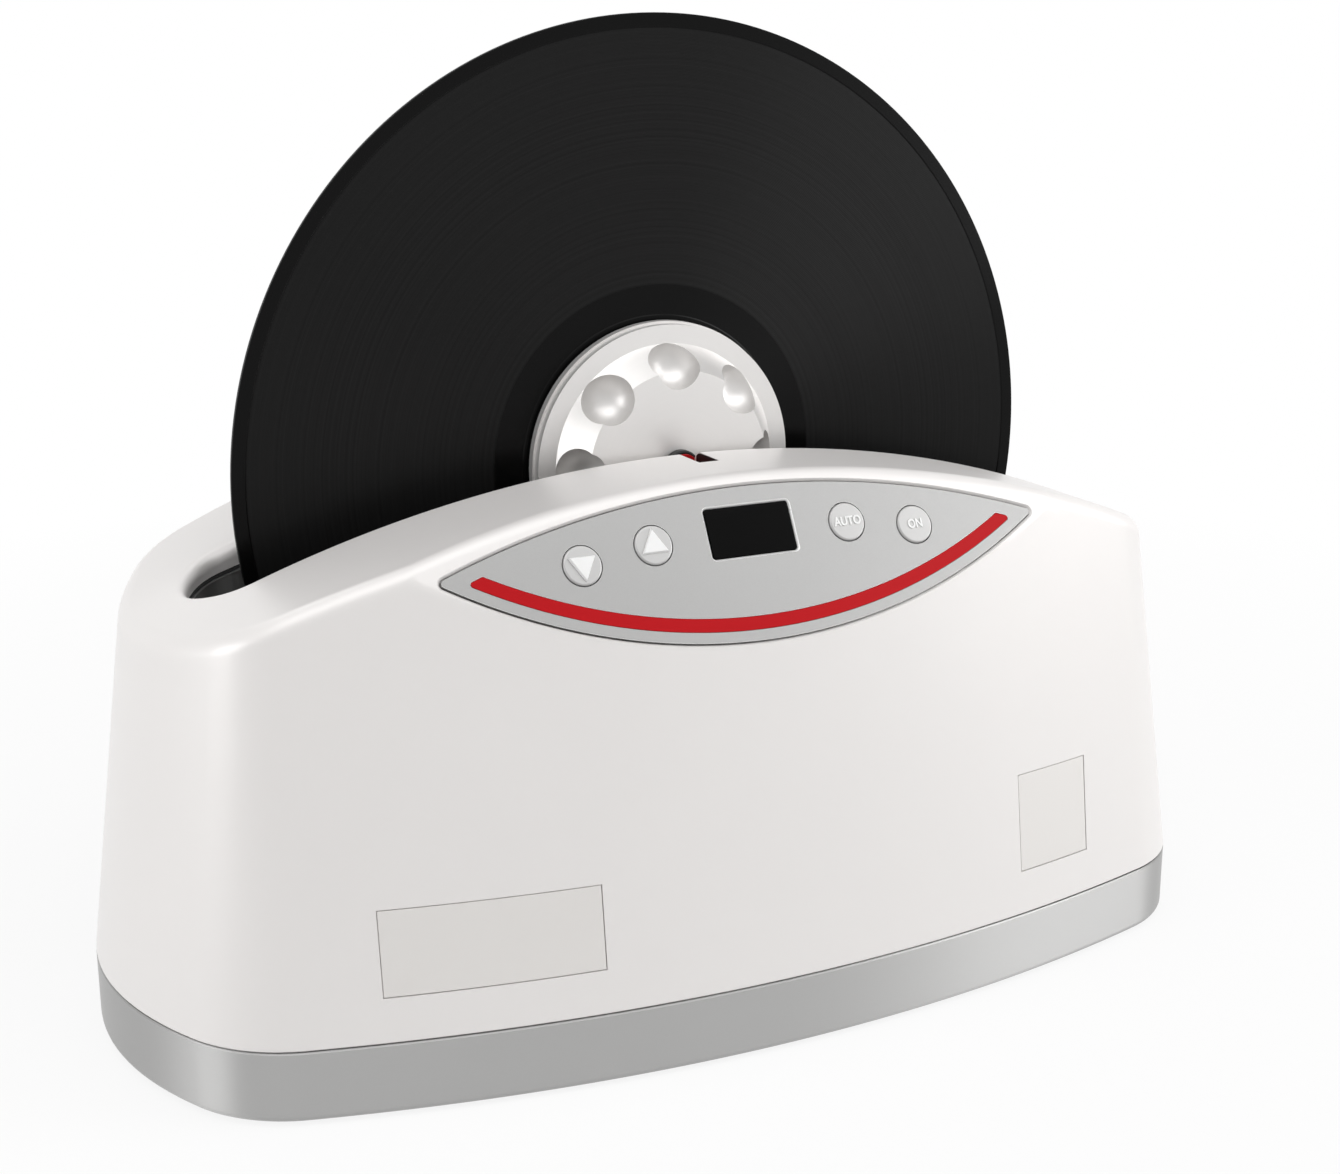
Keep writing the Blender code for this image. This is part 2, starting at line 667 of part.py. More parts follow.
BUTTONS = {
    "button_down": (-OUTER_BUTTON_ACROSS, OUTER_BUTTON_HEIGHT),
    "button_up": (-INNER_BUTTON_ACROSS, INNER_BUTTON_HEIGHT),
    "button_auto": (INNER_BUTTON_ACROSS, INNER_BUTTON_HEIGHT),
    "button_on": (OUTER_BUTTON_ACROSS, OUTER_BUTTON_HEIGHT),
}
NAME_PLATES = {
    "wide_plate": (WIDE_PLATE_CENTRE, WIDE_PLATE_WIDTH, WIDE_PLATE_LOW, WIDE_PLATE_HEIGHT),
    "tall_plate": (TALL_PLATE_CENTRE, TALL_PLATE_WIDTH, TALL_PLATE_LOW, TALL_PLATE_HEIGHT),
}


def plate_box(name, sizes, shrink):
    """A box round one bare plate, from in front of the housing to behind its wall."""
    centre, width, low, height = sizes
    half = width / 2 - shrink
    return add(
        name,
        block_mesh(
            name,
            (centre - half, -HOUSING_HALF_DEPTH - OVERRUN, low + shrink),
            (centre + half, -HOUSING_END_DEPTH / 2, low + height - shrink),
        ),
    )


def notch_outline():
    """The U of a notch, in X and Z about the axle."""
    above = RIM_TOP - AXLE_HEIGHT + OVERRUN
    points = arc((0, 0), NOTCH_HALF_WIDTH, -math.pi, 0, 9)
    return [*points, (NOTCH_HALF_WIDTH, above), (-NOTCH_HALF_WIDTH, above)]


def upper_housing():
    """The pearl white shell: drafted sides, arched rim, slot, panel pocket, notches and plate pockets."""
    outer = side_rings()
    inner = side_rings(WALL, PANEL_WALL, 2)
    housing = add("upper_housing", wrap("upper_housing", [*outer, *lip_rings(), *inner[::-1]]), PEARL)
    throat = SLOT_HALF_DEPTH - LIP_RADIUS
    for side, end, name in ((-1, NOTCH_FRONT_END, "front"), (1, NOTCH_BACK_END, "back")):
        near, far = side * (throat + THROAT_WALL / 2), side * (end + BOSS_END_WALL)
        low, top = AXLE_HEIGHT - BOSS_LOW, RIM_TOP - WALL / 2
        corners = (-BOSS_HALF_WIDTH, min(near, far), low), (BOSS_HALF_WIDTH, max(near, far), top)
        boolean(housing, add(f"{name}_boss", block_mesh(f"{name}_boss", *corners)), "UNION")
    for side, end, name in ((-1, NOTCH_FRONT_END, "front"), (1, NOTCH_BACK_END, "back")):
        depth = end - throat + OVERRUN
        place = Matrix.Translation((0, max(side * end, side * (end - depth)), AXLE_HEIGHT)) @ FACING_FRONT
        mesh = flat_mesh(f"{name}_notch", notch_outline(), depth)
        cutter = add(f"{name}_notch", mesh, None, place @ Matrix.Translation((0, 0, depth)))
        boolean(housing, cutter)
    across = math.sqrt(ROLLER_RADIUS**2 - (AXLE_HEIGHT - BOSS_LOW - ROLLER_HEIGHT) ** 2) + WINDOW_SIDE_CLEARANCE
    window = block_mesh(
        "roller_window",
        (-across, -ROLLER_END - WINDOW_SIDE_CLEARANCE, AXLE_HEIGHT - BOSS_LOW - OVERRUN),
        (across, -ROLLER_START + WINDOW_SIDE_CLEARANCE, ROLLER_HEIGHT + ROLLER_RADIUS + WINDOW_ABOVE),
    )
    boolean(housing, add("roller_window", window))
    boolean(housing, on_panel("panel_pocket", lens(-PANEL_SEAM), OVERRUN, -PANEL_THICKNESS - GAP))
    boolean(housing, on_panel("panel_opening", lens(PANEL_LEDGE), OVERRUN, -PANEL_WALL - OVERRUN))
    floor = skin("plate_floor", PLATE_RECESS)
    for name, sizes in NAME_PLATES.items():
        pocket = plate_box(f"{name}_pocket", sizes, 0)
        boolean(pocket, floor)
        boolean(housing, pocket)
    boolean(housing, inlet_block("inlet_hole", GAP, -INLET_DEPTH - OVERRUN, OVERRUN))
    return housing


def name_plates():
    """The two bare plates, following the bowed front."""
    outside, inside = skin("plate_face", PLATE_RECESS - PLATE_DEPTH - GAP), skin("plate_back", PLATE_RECESS - GAP)
    for name, sizes in NAME_PLATES.items():
        centre, width, low, height = sizes
        half = width / 2 - GAP
        mesh = block_mesh(
            name,
            (centre - half, -HOUSING_HALF_DEPTH - OVERRUN, low + GAP),
            (centre + half, -HOUSING_END_DEPTH / 2, low + height - GAP),
        )
        plate = add(name, mesh, PLATE_CREAM)
        boolean(plate, outside, "INTERSECT")
        boolean(plate, inside)


def inlet_frame():
    """Frame on the back wall at the inlet: Z points out of the wall."""
    inset = draft_inset(INLET_HEIGHT)
    return Matrix.Translation((0, HOUSING_HALF_DEPTH - inset, INLET_HEIGHT)) @ Matrix.Rotation(
        -math.pi / 2 + SIDE_DRAFT, 4, "X"
    )


def inlet_block(name, grow, back, front, finish=None):
    """The inlet's body, or the hole for it, in the inlet's frame."""
    half_width, half_height = INLET_HALF_WIDTH + grow, INLET_HALF_HEIGHT + grow
    mesh = block_mesh(name, (-half_width, -half_height, back), (half_width, half_height, front))
    return add(name, mesh, finish, inlet_frame())


def power_inlet():
    """The inlet for the power cord: flanged body with an open socket and two pins."""
    inlet = inlet_block("power_inlet", 0, -INLET_DEPTH, GAP + INLET_FLANGE_THICKNESS, BLACK)
    rim_width, rim_height = INLET_HALF_WIDTH + INLET_FLANGE, INLET_HALF_HEIGHT + INLET_FLANGE
    flange = block_mesh("inlet_flange", (-rim_width, -rim_height, GAP), (rim_width, rim_height, GAP + INLET_FLANGE_THICKNESS))
    boolean(inlet, add("inlet_flange", flange, None, inlet_frame()), "UNION")
    width, height = INLET_HALF_WIDTH - INLET_SOCKET_MARGIN, INLET_HALF_HEIGHT - INLET_SOCKET_MARGIN
    socket = block_mesh("inlet_socket", (-width, -height, -INLET_SOCKET_DEPTH), (width, height, OVERRUN))
    boolean(inlet, add("inlet_socket", socket, None, inlet_frame()))
    for side, name in ((-1, "left"), (1, "right")):
        base = -INLET_SOCKET_DEPTH - INLET_SOCKET_MARGIN
        mesh = rod_mesh(f"inlet_pin_{name}", INLET_PIN_RADIUS, base, base + INLET_SOCKET_MARGIN + INLET_PIN_LENGTH, 12)
        place = inlet_frame() @ Matrix.Translation((side * INLET_PIN_ACROSS, 0, 0))
        boolean(inlet, add(f"inlet_pin_{name}", mesh, None, place), "UNION")


def base_band():
    """The silver band: rounded foot edge, ledge for the bottom plate and a tongue inside the housing."""
    tongue_top = BAND_TOP + BAND_SEAM + BAND_TONGUE_HEIGHT
    rings = [
        BASE.level(0, BAND_TOP),
        BASE.level(BAND_TONGUE_INSET, BAND_TOP),
        BASE.level(BAND_TONGUE_INSET, tongue_top),
        BASE.level(BAND_WALL, tongue_top),
        BASE.level(BAND_WALL, LEDGE_LOW + LEDGE_THICKNESS),
        BASE.level(LEDGE_INSET, LEDGE_LOW + LEDGE_THICKNESS),
        BASE.level(LEDGE_INSET, LEDGE_LOW),
        BASE.level(BOTTOM_PLATE_INSET - BOTTOM_PLATE_SLACK, LEDGE_LOW),
        BASE.level(BOTTOM_PLATE_INSET - BOTTOM_PLATE_SLACK, BAND_BOTTOM),
    ]
    for step in np.linspace(0, 1, 3):
        angle = step * math.pi / 2
        rings.append(
            BASE.level(BAND_EDGE * (1 - math.sin(angle)), BAND_BOTTOM + BAND_EDGE * (1 - math.cos(angle)))
        )
    band = add("base_band", wrap("base_band", rings), SILVER)
    for name, (x, y) in screw_places().items():
        hole = rod_mesh(f"band_hole_{name}", SCREW_SHANK_RADIUS + GAP, LEDGE_LOW - OVERRUN, LEDGE_LOW + LEDGE_THICKNESS + OVERRUN, 12)
        boolean(band, add(f"band_hole_{name}", hole, None, Matrix.Translation((x, y, 0))))


def screw_places():
    """Four screws through the ledge, at the outer corners of the bottom plate."""
    corner = HOUSING_CORNER - SCREW_INSET
    across = HOUSING_HALF_LENGTH - HOUSING_CORNER
    deep = HOUSING_END_DEPTH - HOUSING_CORNER
    reach = corner * math.sqrt(0.5)
    return {
        f"{name}": (sx * (across + reach), sy * (deep + reach))
        for name, sx, sy in (
            ("front_left", -1, -1),
            ("front_right", 1, -1),
            ("back_right", 1, 1),
            ("back_left", -1, 1),
        )
    }


def bottom_screws():
    """Countersunk screws that hold the bottom plate to the ledge."""
    head_low = PLATE_LOW + SCREW_HEAD_SINK
    head_top = head_low + SCREW_HEAD_HEIGHT
    shank_top = LEDGE_LOW + LEDGE_THICKNESS
    profile = [
        (SCREW_SHANK_RADIUS, shank_top),
        (SCREW_SHANK_RADIUS, head_top),
        (SCREW_HEAD_RADIUS, head_low + GAP),
        (SCREW_HEAD_RADIUS, head_low),
    ]
    slot = block_mesh(
        "screw_slot",
        (-SCREW_HEAD_RADIUS - OVERRUN, -SCREW_SLOT_WIDTH / 2, head_low - OVERRUN),
        (SCREW_HEAD_RADIUS + OVERRUN, SCREW_SLOT_WIDTH / 2, head_low + SCREW_SLOT_DEPTH),
    )
    for name, (x, y) in screw_places().items():
        place = Matrix.Translation((x, y, 0))
        screw = add(f"screw_{name}", turned(f"screw_{name}", profile, 12), METAL, place)
        boolean(screw, add(f"screw_slot_{name}", slot.copy(), None, place))


def bottom_plate():
    """The dark bottom plate with vents, posts under the bath and stands for the power board."""
    outline = [tuple(point) for point in BASE.at(BOTTOM_PLATE_INSET)]
    place = Matrix.Translation((0, 0, PLATE_TOP))
    plate = add("bottom_plate", flat_mesh("bottom_plate", outline, BOTTOM_PLATE_THICKNESS), DARK_METAL, place)
    middle = (PLATE_LOW + PLATE_TOP) / 2
    for side, name in ((-1, "left"), (1, "right")):
        post = rod_mesh(f"{name}_post", SUPPORT_RADIUS, middle, TANK_FLOOR - TANK_WALL - GAP, 16)
        place = Matrix.Translation((side * SUPPORT_ACROSS, 0, 0))
        boolean(plate, add(f"{name}_post", post, None, place), "UNION")
    for name, (x, y) in board_corners().items():
        stand = rod_mesh(f"stand_{name}", POST_RADIUS, middle, PLATE_TOP + GENERATOR_STAND, 8)
        boolean(plate, add(f"stand_{name}", stand, None, Matrix.Translation((x, y, 0))), "UNION")
    for side, name in ((-1, "left"), (1, "right")):
        for index in range(VENT_COUNT):
            along = side * VENT_ACROSS + (index - (VENT_COUNT - 1) / 2) * VENT_PITCH
            vent = flat_mesh(
                f"vent_{name}_{index + 1}",
                rounded_box(VENT_WIDTH / 2, VENT_LENGTH / 2, VENT_WIDTH / 2, (along, VENT_DEPTH), 2),
                BOTTOM_PLATE_THICKNESS + 2 * OVERRUN,
            )
            top = Matrix.Translation((0, 0, PLATE_TOP + OVERRUN))
            boolean(plate, add(f"vent_{name}_{index + 1}", vent, None, top))
    sink = SCREW_HEAD_SINK + SCREW_HEAD_HEIGHT
    profile = [
        (SCREW_SHANK_RADIUS + GAP, PLATE_TOP + OVERRUN),
        (SCREW_SHANK_RADIUS + GAP, PLATE_LOW + sink + GAP),
        (SCREW_HEAD_RADIUS + GAP, PLATE_LOW + SCREW_HEAD_SINK + 2 * GAP),
        (SCREW_HEAD_RADIUS + GAP, PLATE_LOW - OVERRUN),
    ]
    for name, (x, y) in screw_places().items():
        hole = turned(f"plate_hole_{name}", profile, 12)
        boolean(plate, add(f"plate_hole_{name}", hole, None, Matrix.Translation((x, y, 0))))


def feet():
    """Four rubber feet under the bottom plate."""
    for name, sx, sy in (("front_left", -1, -1), ("front_right", 1, -1), ("back_right", 1, 1), ("back_left", -1, 1)):
        mesh = rod_mesh(f"foot_{name}", FOOT_RADIUS - FOOT_TAPER, 0, FOOT_HEIGHT, 20, FOOT_RADIUS)
        add(f"foot_{name}", mesh, RUBBER, Matrix.Translation((sx * FOOT_ACROSS, sy * FOOT_DEPTH, 0)))


def tank():
    """The bath: a deep trough whose flange follows the arched rim."""
    inside, outside = LIP_RADIUS + TANK_STEP, LIP_RADIUS + TANK_STEP - TANK_WALL
    top = GASKET_THICKNESS + 2 * GAP
    flange = outside - TANK_FLANGE
    rings = []
    for step in np.linspace(0, 1, 3):
        angle = step * math.pi / 2
        radius = TANK_BOTTOM_RADIUS + TANK_WALL
        inset = outside + radius * (1 - math.sin(angle))
        rings.append(BATH.level(inset, TANK_FLOOR - TANK_WALL + radius * (1 - math.cos(angle))))
    rings.append(BATH.below_seam(outside, top + TANK_WALL))
    rings.append(BATH.below_seam(flange, top + TANK_WALL))
    rings.append(BATH.below_seam(flange, top))
    rings.append(BATH.below_seam(inside, top))
    for step in np.linspace(1, 0, 3):
        angle = step * math.pi / 2
        inset = inside + TANK_BOTTOM_RADIUS * (1 - math.sin(angle))
        rings.append(BATH.level(inset, TANK_FLOOR + TANK_BOTTOM_RADIUS * (1 - math.cos(angle))))
    add("bath_tank", wrap("bath_tank", rings, False, True), STEEL)
    low, high = GAP, GAP + GASKET_THICKNESS
    near, far = LIP_RADIUS, LIP_RADIUS - THROAT_WALL
    seal = [
        SLOT.below_seam(near, low),
        SLOT.below_seam(near, high),
        SLOT.below_seam(far, high),
        SLOT.below_seam(far, low),
    ]
    add("tank_gasket", wrap("tank_gasket", seal), RUBBER)


def transducers():
    """Four sound heads: a wide front mass on the bath wall, the ring stack and the back mass."""
    wall = SLOT_HALF_DEPTH - LIP_RADIUS - TANK_STEP + TANK_WALL
    profile_lengths = TRANSDUCER_FRONT, TRANSDUCER_STACK, TRANSDUCER_BACK
    first, second, third = np.cumsum(profile_lengths)
    profile = [
        (TRANSDUCER_BACK_RADIUS, third),
        (TRANSDUCER_BACK_RADIUS, second),
        (TRANSDUCER_STACK_RADIUS, second),
        (TRANSDUCER_STACK_RADIUS, first),
        (TRANSDUCER_RADIUS, 0),
    ]
    for side, name in ((-1, "front"), (1, "back")):
        for hand, end in ((-1, "left"), (1, "right")):
            turn = FACING_FRONT if side < 0 else FACING_BACK
            place = Matrix.Translation((hand * TRANSDUCER_ACROSS, side * (wall + GAP), TRANSDUCER_HEIGHT)) @ turn
            full_name = f"transducer_{name}_{end}"
            add(full_name, turned(full_name, profile, 16), METAL, place)


def board_corners():
    """The four stands of the power board."""
    inset = 2 * POST_RADIUS
    x, y = GENERATOR_HALF_WIDTH - inset, GENERATOR_HALF_DEPTH - inset
    return {
        f"{i + 1}": (sx * x, GENERATOR_DEPTH + sy * y)
        for i, (sx, sy) in enumerate(((-1, -1), (1, -1), (1, 1), (-1, 1)))
    }


def electronics():
    """Power board with its coil, capacitors and heat sink, and the mains transformer."""
    low = PLATE_TOP + GENERATOR_STAND + GAP
    top = low + BOARD_THICKNESS
    board = add(
        "generator_board",
        block_mesh(
            "generator_board",
            (-GENERATOR_HALF_WIDTH, GENERATOR_DEPTH - GENERATOR_HALF_DEPTH, low),
            (GENERATOR_HALF_WIDTH, GENERATOR_DEPTH + GENERATOR_HALF_DEPTH, top),
        ),
        BOARD_GREEN,
    )
    across = GENERATOR_HALF_WIDTH / 2
    places = {
        "coil": (COIL_RADIUS, COIL_HEIGHT, -across, 0),
        "capacitor_1": (CAPACITOR_RADIUS, CAPACITOR_HEIGHT, 0, -GENERATOR_HALF_DEPTH / 2),
        "capacitor_2": (CAPACITOR_RADIUS, CAPACITOR_HEIGHT, 0, GENERATOR_HALF_DEPTH / 2),
    }
    for name, (radius, height, x, y) in places.items():
        mesh = rod_mesh(name, radius, top - BOARD_THICKNESS / 2, top + height, 16)
        boolean(board, add(name, mesh, None, Matrix.Translation((x, GENERATOR_DEPTH + y, 0))), "UNION")
    sink = block_mesh(
        "heat_sink",
        (across - HEAT_SINK_WIDTH / 2, GENERATOR_DEPTH - HEAT_SINK_DEPTH / 2, top + GAP),
        (across + HEAT_SINK_WIDTH / 2, GENERATOR_DEPTH + HEAT_SINK_DEPTH / 2, top + GAP + HEAT_SINK_HEIGHT),
    )
    add("heat_sink", sink, METAL)
    base = PLATE_TOP + GAP
    core = add(
        "transformer",
        block_mesh(
            "transformer",
            (TRANSFORMER_ACROSS - TRANSFORMER_WIDTH / 2, TRANSFORMER_DEPTH - TRANSFORMER_LENGTH / 4, base),
            (TRANSFORMER_ACROSS + TRANSFORMER_WIDTH / 2, TRANSFORMER_DEPTH + TRANSFORMER_LENGTH / 4, base + TRANSFORMER_HEIGHT),
        ),
        COPPER,
    )
    half = TRANSFORMER_WIDTH * TRANSFORMER_COIL_SHARE / 2
    rise = TRANSFORMER_HEIGHT * (1 - TRANSFORMER_COIL_SHARE) / 2
    coil = block_mesh(
        "transformer_coil",
        (TRANSFORMER_ACROSS - half, TRANSFORMER_DEPTH - TRANSFORMER_LENGTH / 2, base + rise),
        (TRANSFORMER_ACROSS + half, TRANSFORMER_DEPTH + TRANSFORMER_LENGTH / 2, base + TRANSFORMER_HEIGHT - rise),
    )
    boolean(core, add("transformer_coil", coil), "UNION")


def control_panel():
    """The grey panel plate with its strip recess, display opening, button holes and board posts."""
    panel = on_panel("control_panel", lens(0), 0, -PANEL_THICKNESS, PANEL_GREY)
    boolean(panel, on_panel("strip_recess", strip_outline(GAP), OVERRUN, -STRIP_RECESS))
    middle = (0, DISPLAY_HEIGHT)
    opening = rounded_box(DISPLAY_HALF_WIDTH + GAP, DISPLAY_HALF_HEIGHT + GAP, DISPLAY_CORNER + GAP, middle)
    boolean(panel, on_panel("display_opening", opening, OVERRUN, -PANEL_THICKNESS - OVERRUN))
    for name, centre in BUTTONS.items():
        hole = on_panel(f"{name}_hole", circle(centre, BUTTON_RADIUS + GAP, 24), OVERRUN, -PANEL_THICKNESS - OVERRUN)
        boolean(panel, hole)
    for side, end in ((-1, "left"), (1, "right")):
        for height, level in zip(POST_HEIGHTS, ("low", "high")):
            name = f"post_{end}_{level}"
            post = on_panel(
                name, circle((side * POST_ACROSS, height), POST_RADIUS, 8), -PANEL_THICKNESS / 2, -PANEL_THICKNESS - BOARD_SETBACK
            )
            boolean(panel, post, "UNION")
    strip_back = -STRIP_RECESS + GAP
    on_panel("red_strip", strip_outline(0), STRIP_PROUD, strip_back, RED)
    window = rounded_box(DISPLAY_HALF_WIDTH, DISPLAY_HALF_HEIGHT, DISPLAY_CORNER, middle)
    on_panel("display_window", window, -GAP / 3, -PANEL_THICKNESS, WINDOW_BLACK)
    module = rounded_box(DISPLAY_HALF_WIDTH + MODULE_MARGIN, DISPLAY_HALF_HEIGHT + MODULE_MARGIN, DISPLAY_CORNER, middle, 2)
    board_front = -PANEL_THICKNESS - BOARD_SETBACK - GAP
    on_panel("display_module", module, -PANEL_THICKNESS - GAP, board_front + GAP, BLACK)
    height = (BOARD_HIGH - BOARD_LOW) / 2
    outline = rounded_box(BOARD_HALF_WIDTH, height, POST_RADIUS, (0, BOARD_LOW + height), 2)
    board = on_panel("panel_board", outline, board_front, board_front - BOARD_THICKNESS, BOARD_GREEN)
    for name, centre in BUTTONS.items():
        switch = rounded_box(SWITCH_HALF_WIDTH, SWITCH_HALF_WIDTH, SWITCH_HALF_WIDTH / 4, centre, 1)
        body = on_panel(f"{name}_switch", switch, board_front + SWITCH_HEIGHT, board_front - BOARD_THICKNESS / 2)
        boolean(board, body, "UNION")


def buttons():
    """Four round caps: rounded face, flange behind the panel and a stem above its switch."""
    flange_front = -PANEL_THICKNESS - GAP
    flange_back = flange_front - BUTTON_FLANGE_THICKNESS
    board_front = -PANEL_THICKNESS - BOARD_SETBACK - GAP
    stem_end = board_front + SWITCH_HEIGHT + BUTTON_TRAVEL + GAP
    profile = [
        (BUTTON_RADIUS - BUTTON_EDGE, BUTTON_PROUD),
        (BUTTON_RADIUS, BUTTON_PROUD - BUTTON_EDGE),
        (BUTTON_RADIUS, flange_front),
        (BUTTON_FLANGE, flange_front),
        (BUTTON_FLANGE, flange_back),
        (BUTTON_STEM_RADIUS, flange_back),
        (BUTTON_STEM_RADIUS, stem_end),
    ]
    for name, (x, y) in BUTTONS.items():
        add(name, turned(name, profile, 24), CAP_GREY, PANEL_FRAME @ Matrix.Translation((x, y, 0)))


def record():
    """The record, upright on the axle: rim band, grooves and thicker label."""
    half, groove = RECORD_THICKNESS / 2, RECORD_GROOVE_THICKNESS / 2
    inner_rim = RECORD_RADIUS - RECORD_RIM_WIDTH
    front = [
        (RECORD_LABEL_RADIUS, half),
        (RECORD_GROOVE_START, groove),
        (inner_rim, groove),
        (inner_rim + RECORD_EDGE, half),
        (RECORD_RADIUS, half - RECORD_EDGE),
    ]
    profile = front + [(radius, -height) for radius, height in front[::-1]]
    add("record", turned("record", profile, RECORD_STEPS, RECORD_HOLE), VINYL, axle_place())


def axle_place():
    """Frame on the axle: Z points to the front."""
    return Matrix.Translation((0, 0, AXLE_HEIGHT)) @ FACING_FRONT


def clamp_profile(knob, boss):
    """One clamp disc from its knob down to the label: slope, ring, stepped edge."""
    ring_edge = CLAMP_RADIUS - CLAMP_RING
    step = CLAMP_START + (CLAMP_FACE - CLAMP_START) * CLAMP_STEP_SHARE
    face = [
        (ring_edge - CLAMP_KNOB_SLOPE, CLAMP_FACE + knob),
        (ring_edge, CLAMP_FACE),
        (CLAMP_RADIUS - CLAMP_STEP, CLAMP_FACE),
        (CLAMP_RADIUS - CLAMP_STEP, step),
        (CLAMP_RADIUS, step),
        (CLAMP_RADIUS, CLAMP_START),
    ]
    if not boss:
        return face
    return [(CLAMP_BOSS_RADIUS, CLAMP_BOSS_END), (CLAMP_BOSS_RADIUS, CLAMP_FACE + knob), *face]


def clamps():
    """The front disc with its scooped knob, the flatter back disc with its boss, and their seals."""
    for name, turn, knob in (("front", FACING_FRONT, CLAMP_KNOB), ("back", FACING_BACK, CLAMP_BACK_KNOB)):
        place = Matrix.Translation((0, 0, AXLE_HEIGHT)) @ turn
        bore = AXLE_CORE + GAP
        mesh = turned(f"clamp_{name}", clamp_profile(knob, name == "back"), CLAMP_STEPS, bore)
        clamp = add(f"clamp_{name}", mesh, CLAMP_SILVER, place)
        for index in range(SCOOP_COUNT if name == "front" else 0):
            angle = 2 * math.pi * index / SCOOP_COUNT
            bm = bmesh.new()
            bmesh.ops.create_uvsphere(bm, u_segments=16, v_segments=12, radius=SCOOP_RADIUS)
            sphere = bpy.data.meshes.new(f"scoop_{index + 1}")
            bm.to_mesh(sphere)
            bm.free()
            spot = (SCOOP_ORBIT * math.cos(angle), SCOOP_ORBIT * math.sin(angle), CLAMP_FACE + SCOOP_HEIGHT)
            boolean(clamp, add(sphere.name, sphere, None, place @ Matrix.Translation(spot)))
        outer = CLAMP_RADIUS - GAP
        ring = [(outer, SEAL_START + SEAL_THICKNESS), (outer, SEAL_START)]
        add(f"label_seal_{name}", turned(f"label_seal_{name}", ring, CLAMP_STEPS, outer - SEAL_WIDTH), RUBBER, place)


def axle():
    """The axle with its hub, and the two bushes that stand still while it turns."""
    hub_start = CLAMP_KNOB_FACE + GAP
    profile = [
        (AXLE_RADIUS, AXLE_FRONT_END),
        (AXLE_RADIUS, HUB_END),
        (HUB_RADIUS, HUB_END),
        (HUB_RADIUS, hub_start),
        (AXLE_CORE, hub_start),
        (AXLE_CORE, -CLAMP_BOSS_END - GAP),
        (AXLE_RADIUS, -CLAMP_BOSS_END - GAP),
        (AXLE_RADIUS, -AXLE_BACK_END),
    ]
    add("axle", turned("axle", profile, 16), BLACK, axle_place())
    for name, side in (("front", 1), ("back", -1)):
        ends = sorted((side * BUSH_END, side * BUSH_START), reverse=True)
        ring = [(BUSH_RADIUS, ends[0]), (BUSH_RADIUS, ends[1])]
        add(f"bush_{name}", turned(f"bush_{name}", ring, 16, BUSH_BORE), RED, axle_place())


def drive():
    """The rubber-tyred roller on its shaft, the gear motor and the bracket under the front notch."""
    place = Matrix.Translation((0, 0, ROLLER_HEIGHT)) @ FACING_FRONT
    core_radius = ROLLER_CORE_RADIUS - GAP
    shaft_end = MOTOR_START + MOTOR_BORE_DEPTH - GAP
    profile = [
        (ROLLER_SHAFT_RADIUS, shaft_end),
        (ROLLER_SHAFT_RADIUS, ROLLER_END),
        (core_radius, ROLLER_END),
        (core_radius, ROLLER_START),
    ]
    add("roller_hub", turned("roller_hub", profile, 24), METAL, place)
    tyre = [(ROLLER_RADIUS, ROLLER_END), (ROLLER_RADIUS, ROLLER_START)]
    add("roller_tyre", turned("roller_tyre", tyre, 32, ROLLER_CORE_RADIUS), RUBBER, place)
    motor = add("drive_motor", rod_mesh("drive_motor", MOTOR_RADIUS, MOTOR_START, MOTOR_START + MOTOR_LENGTH), METAL, place)
    bore = rod_mesh("motor_bore", ROLLER_SHAFT_RADIUS + GAP, MOTOR_START - OVERRUN, MOTOR_START + MOTOR_BORE_DEPTH, 16)
    boolean(motor, add("motor_bore", bore, None, place))
    front, back = -BRACKET_START - BRACKET_THICKNESS, -BRACKET_START
    bracket = add(
        "motor_bracket",
        block_mesh(
            "motor_bracket",
            (-BRACKET_HALF_WIDTH, front, ROLLER_HEIGHT - BRACKET_BELOW),
            (BRACKET_HALF_WIDTH, back, BRACKET_TOP),
        ),
        DARK_METAL,
    )
    flange = block_mesh(
        "bracket_flange",
        (-BRACKET_HALF_WIDTH, front - BRACKET_FLANGE, BRACKET_TOP - BRACKET_THICKNESS),
        (BRACKET_HALF_WIDTH, (front + back) / 2, BRACKET_TOP),
    )
    boolean(bracket, add("bracket_flange", flange), "UNION")
    hole = rod_mesh("bracket_bore", BRACKET_BORE, BRACKET_START - OVERRUN, BRACKET_START + BRACKET_THICKNESS + OVERRUN, 16)
    boolean(bracket, add("bracket_bore", hole, None, place))


upper_housing()
name_plates()
power_inlet()
base_band()
bottom_plate()
bottom_screws()
feet()
tank()
transducers()
electronics()
control_panel()
buttons()
record()
clamps()
axle()
drive()
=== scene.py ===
"""Record cleaning machine: an upright record turns in a slot above an ultrasonic bath."""

import math

import bmesh
import bpy
import numpy as np
from mathutils import Matrix, Vector


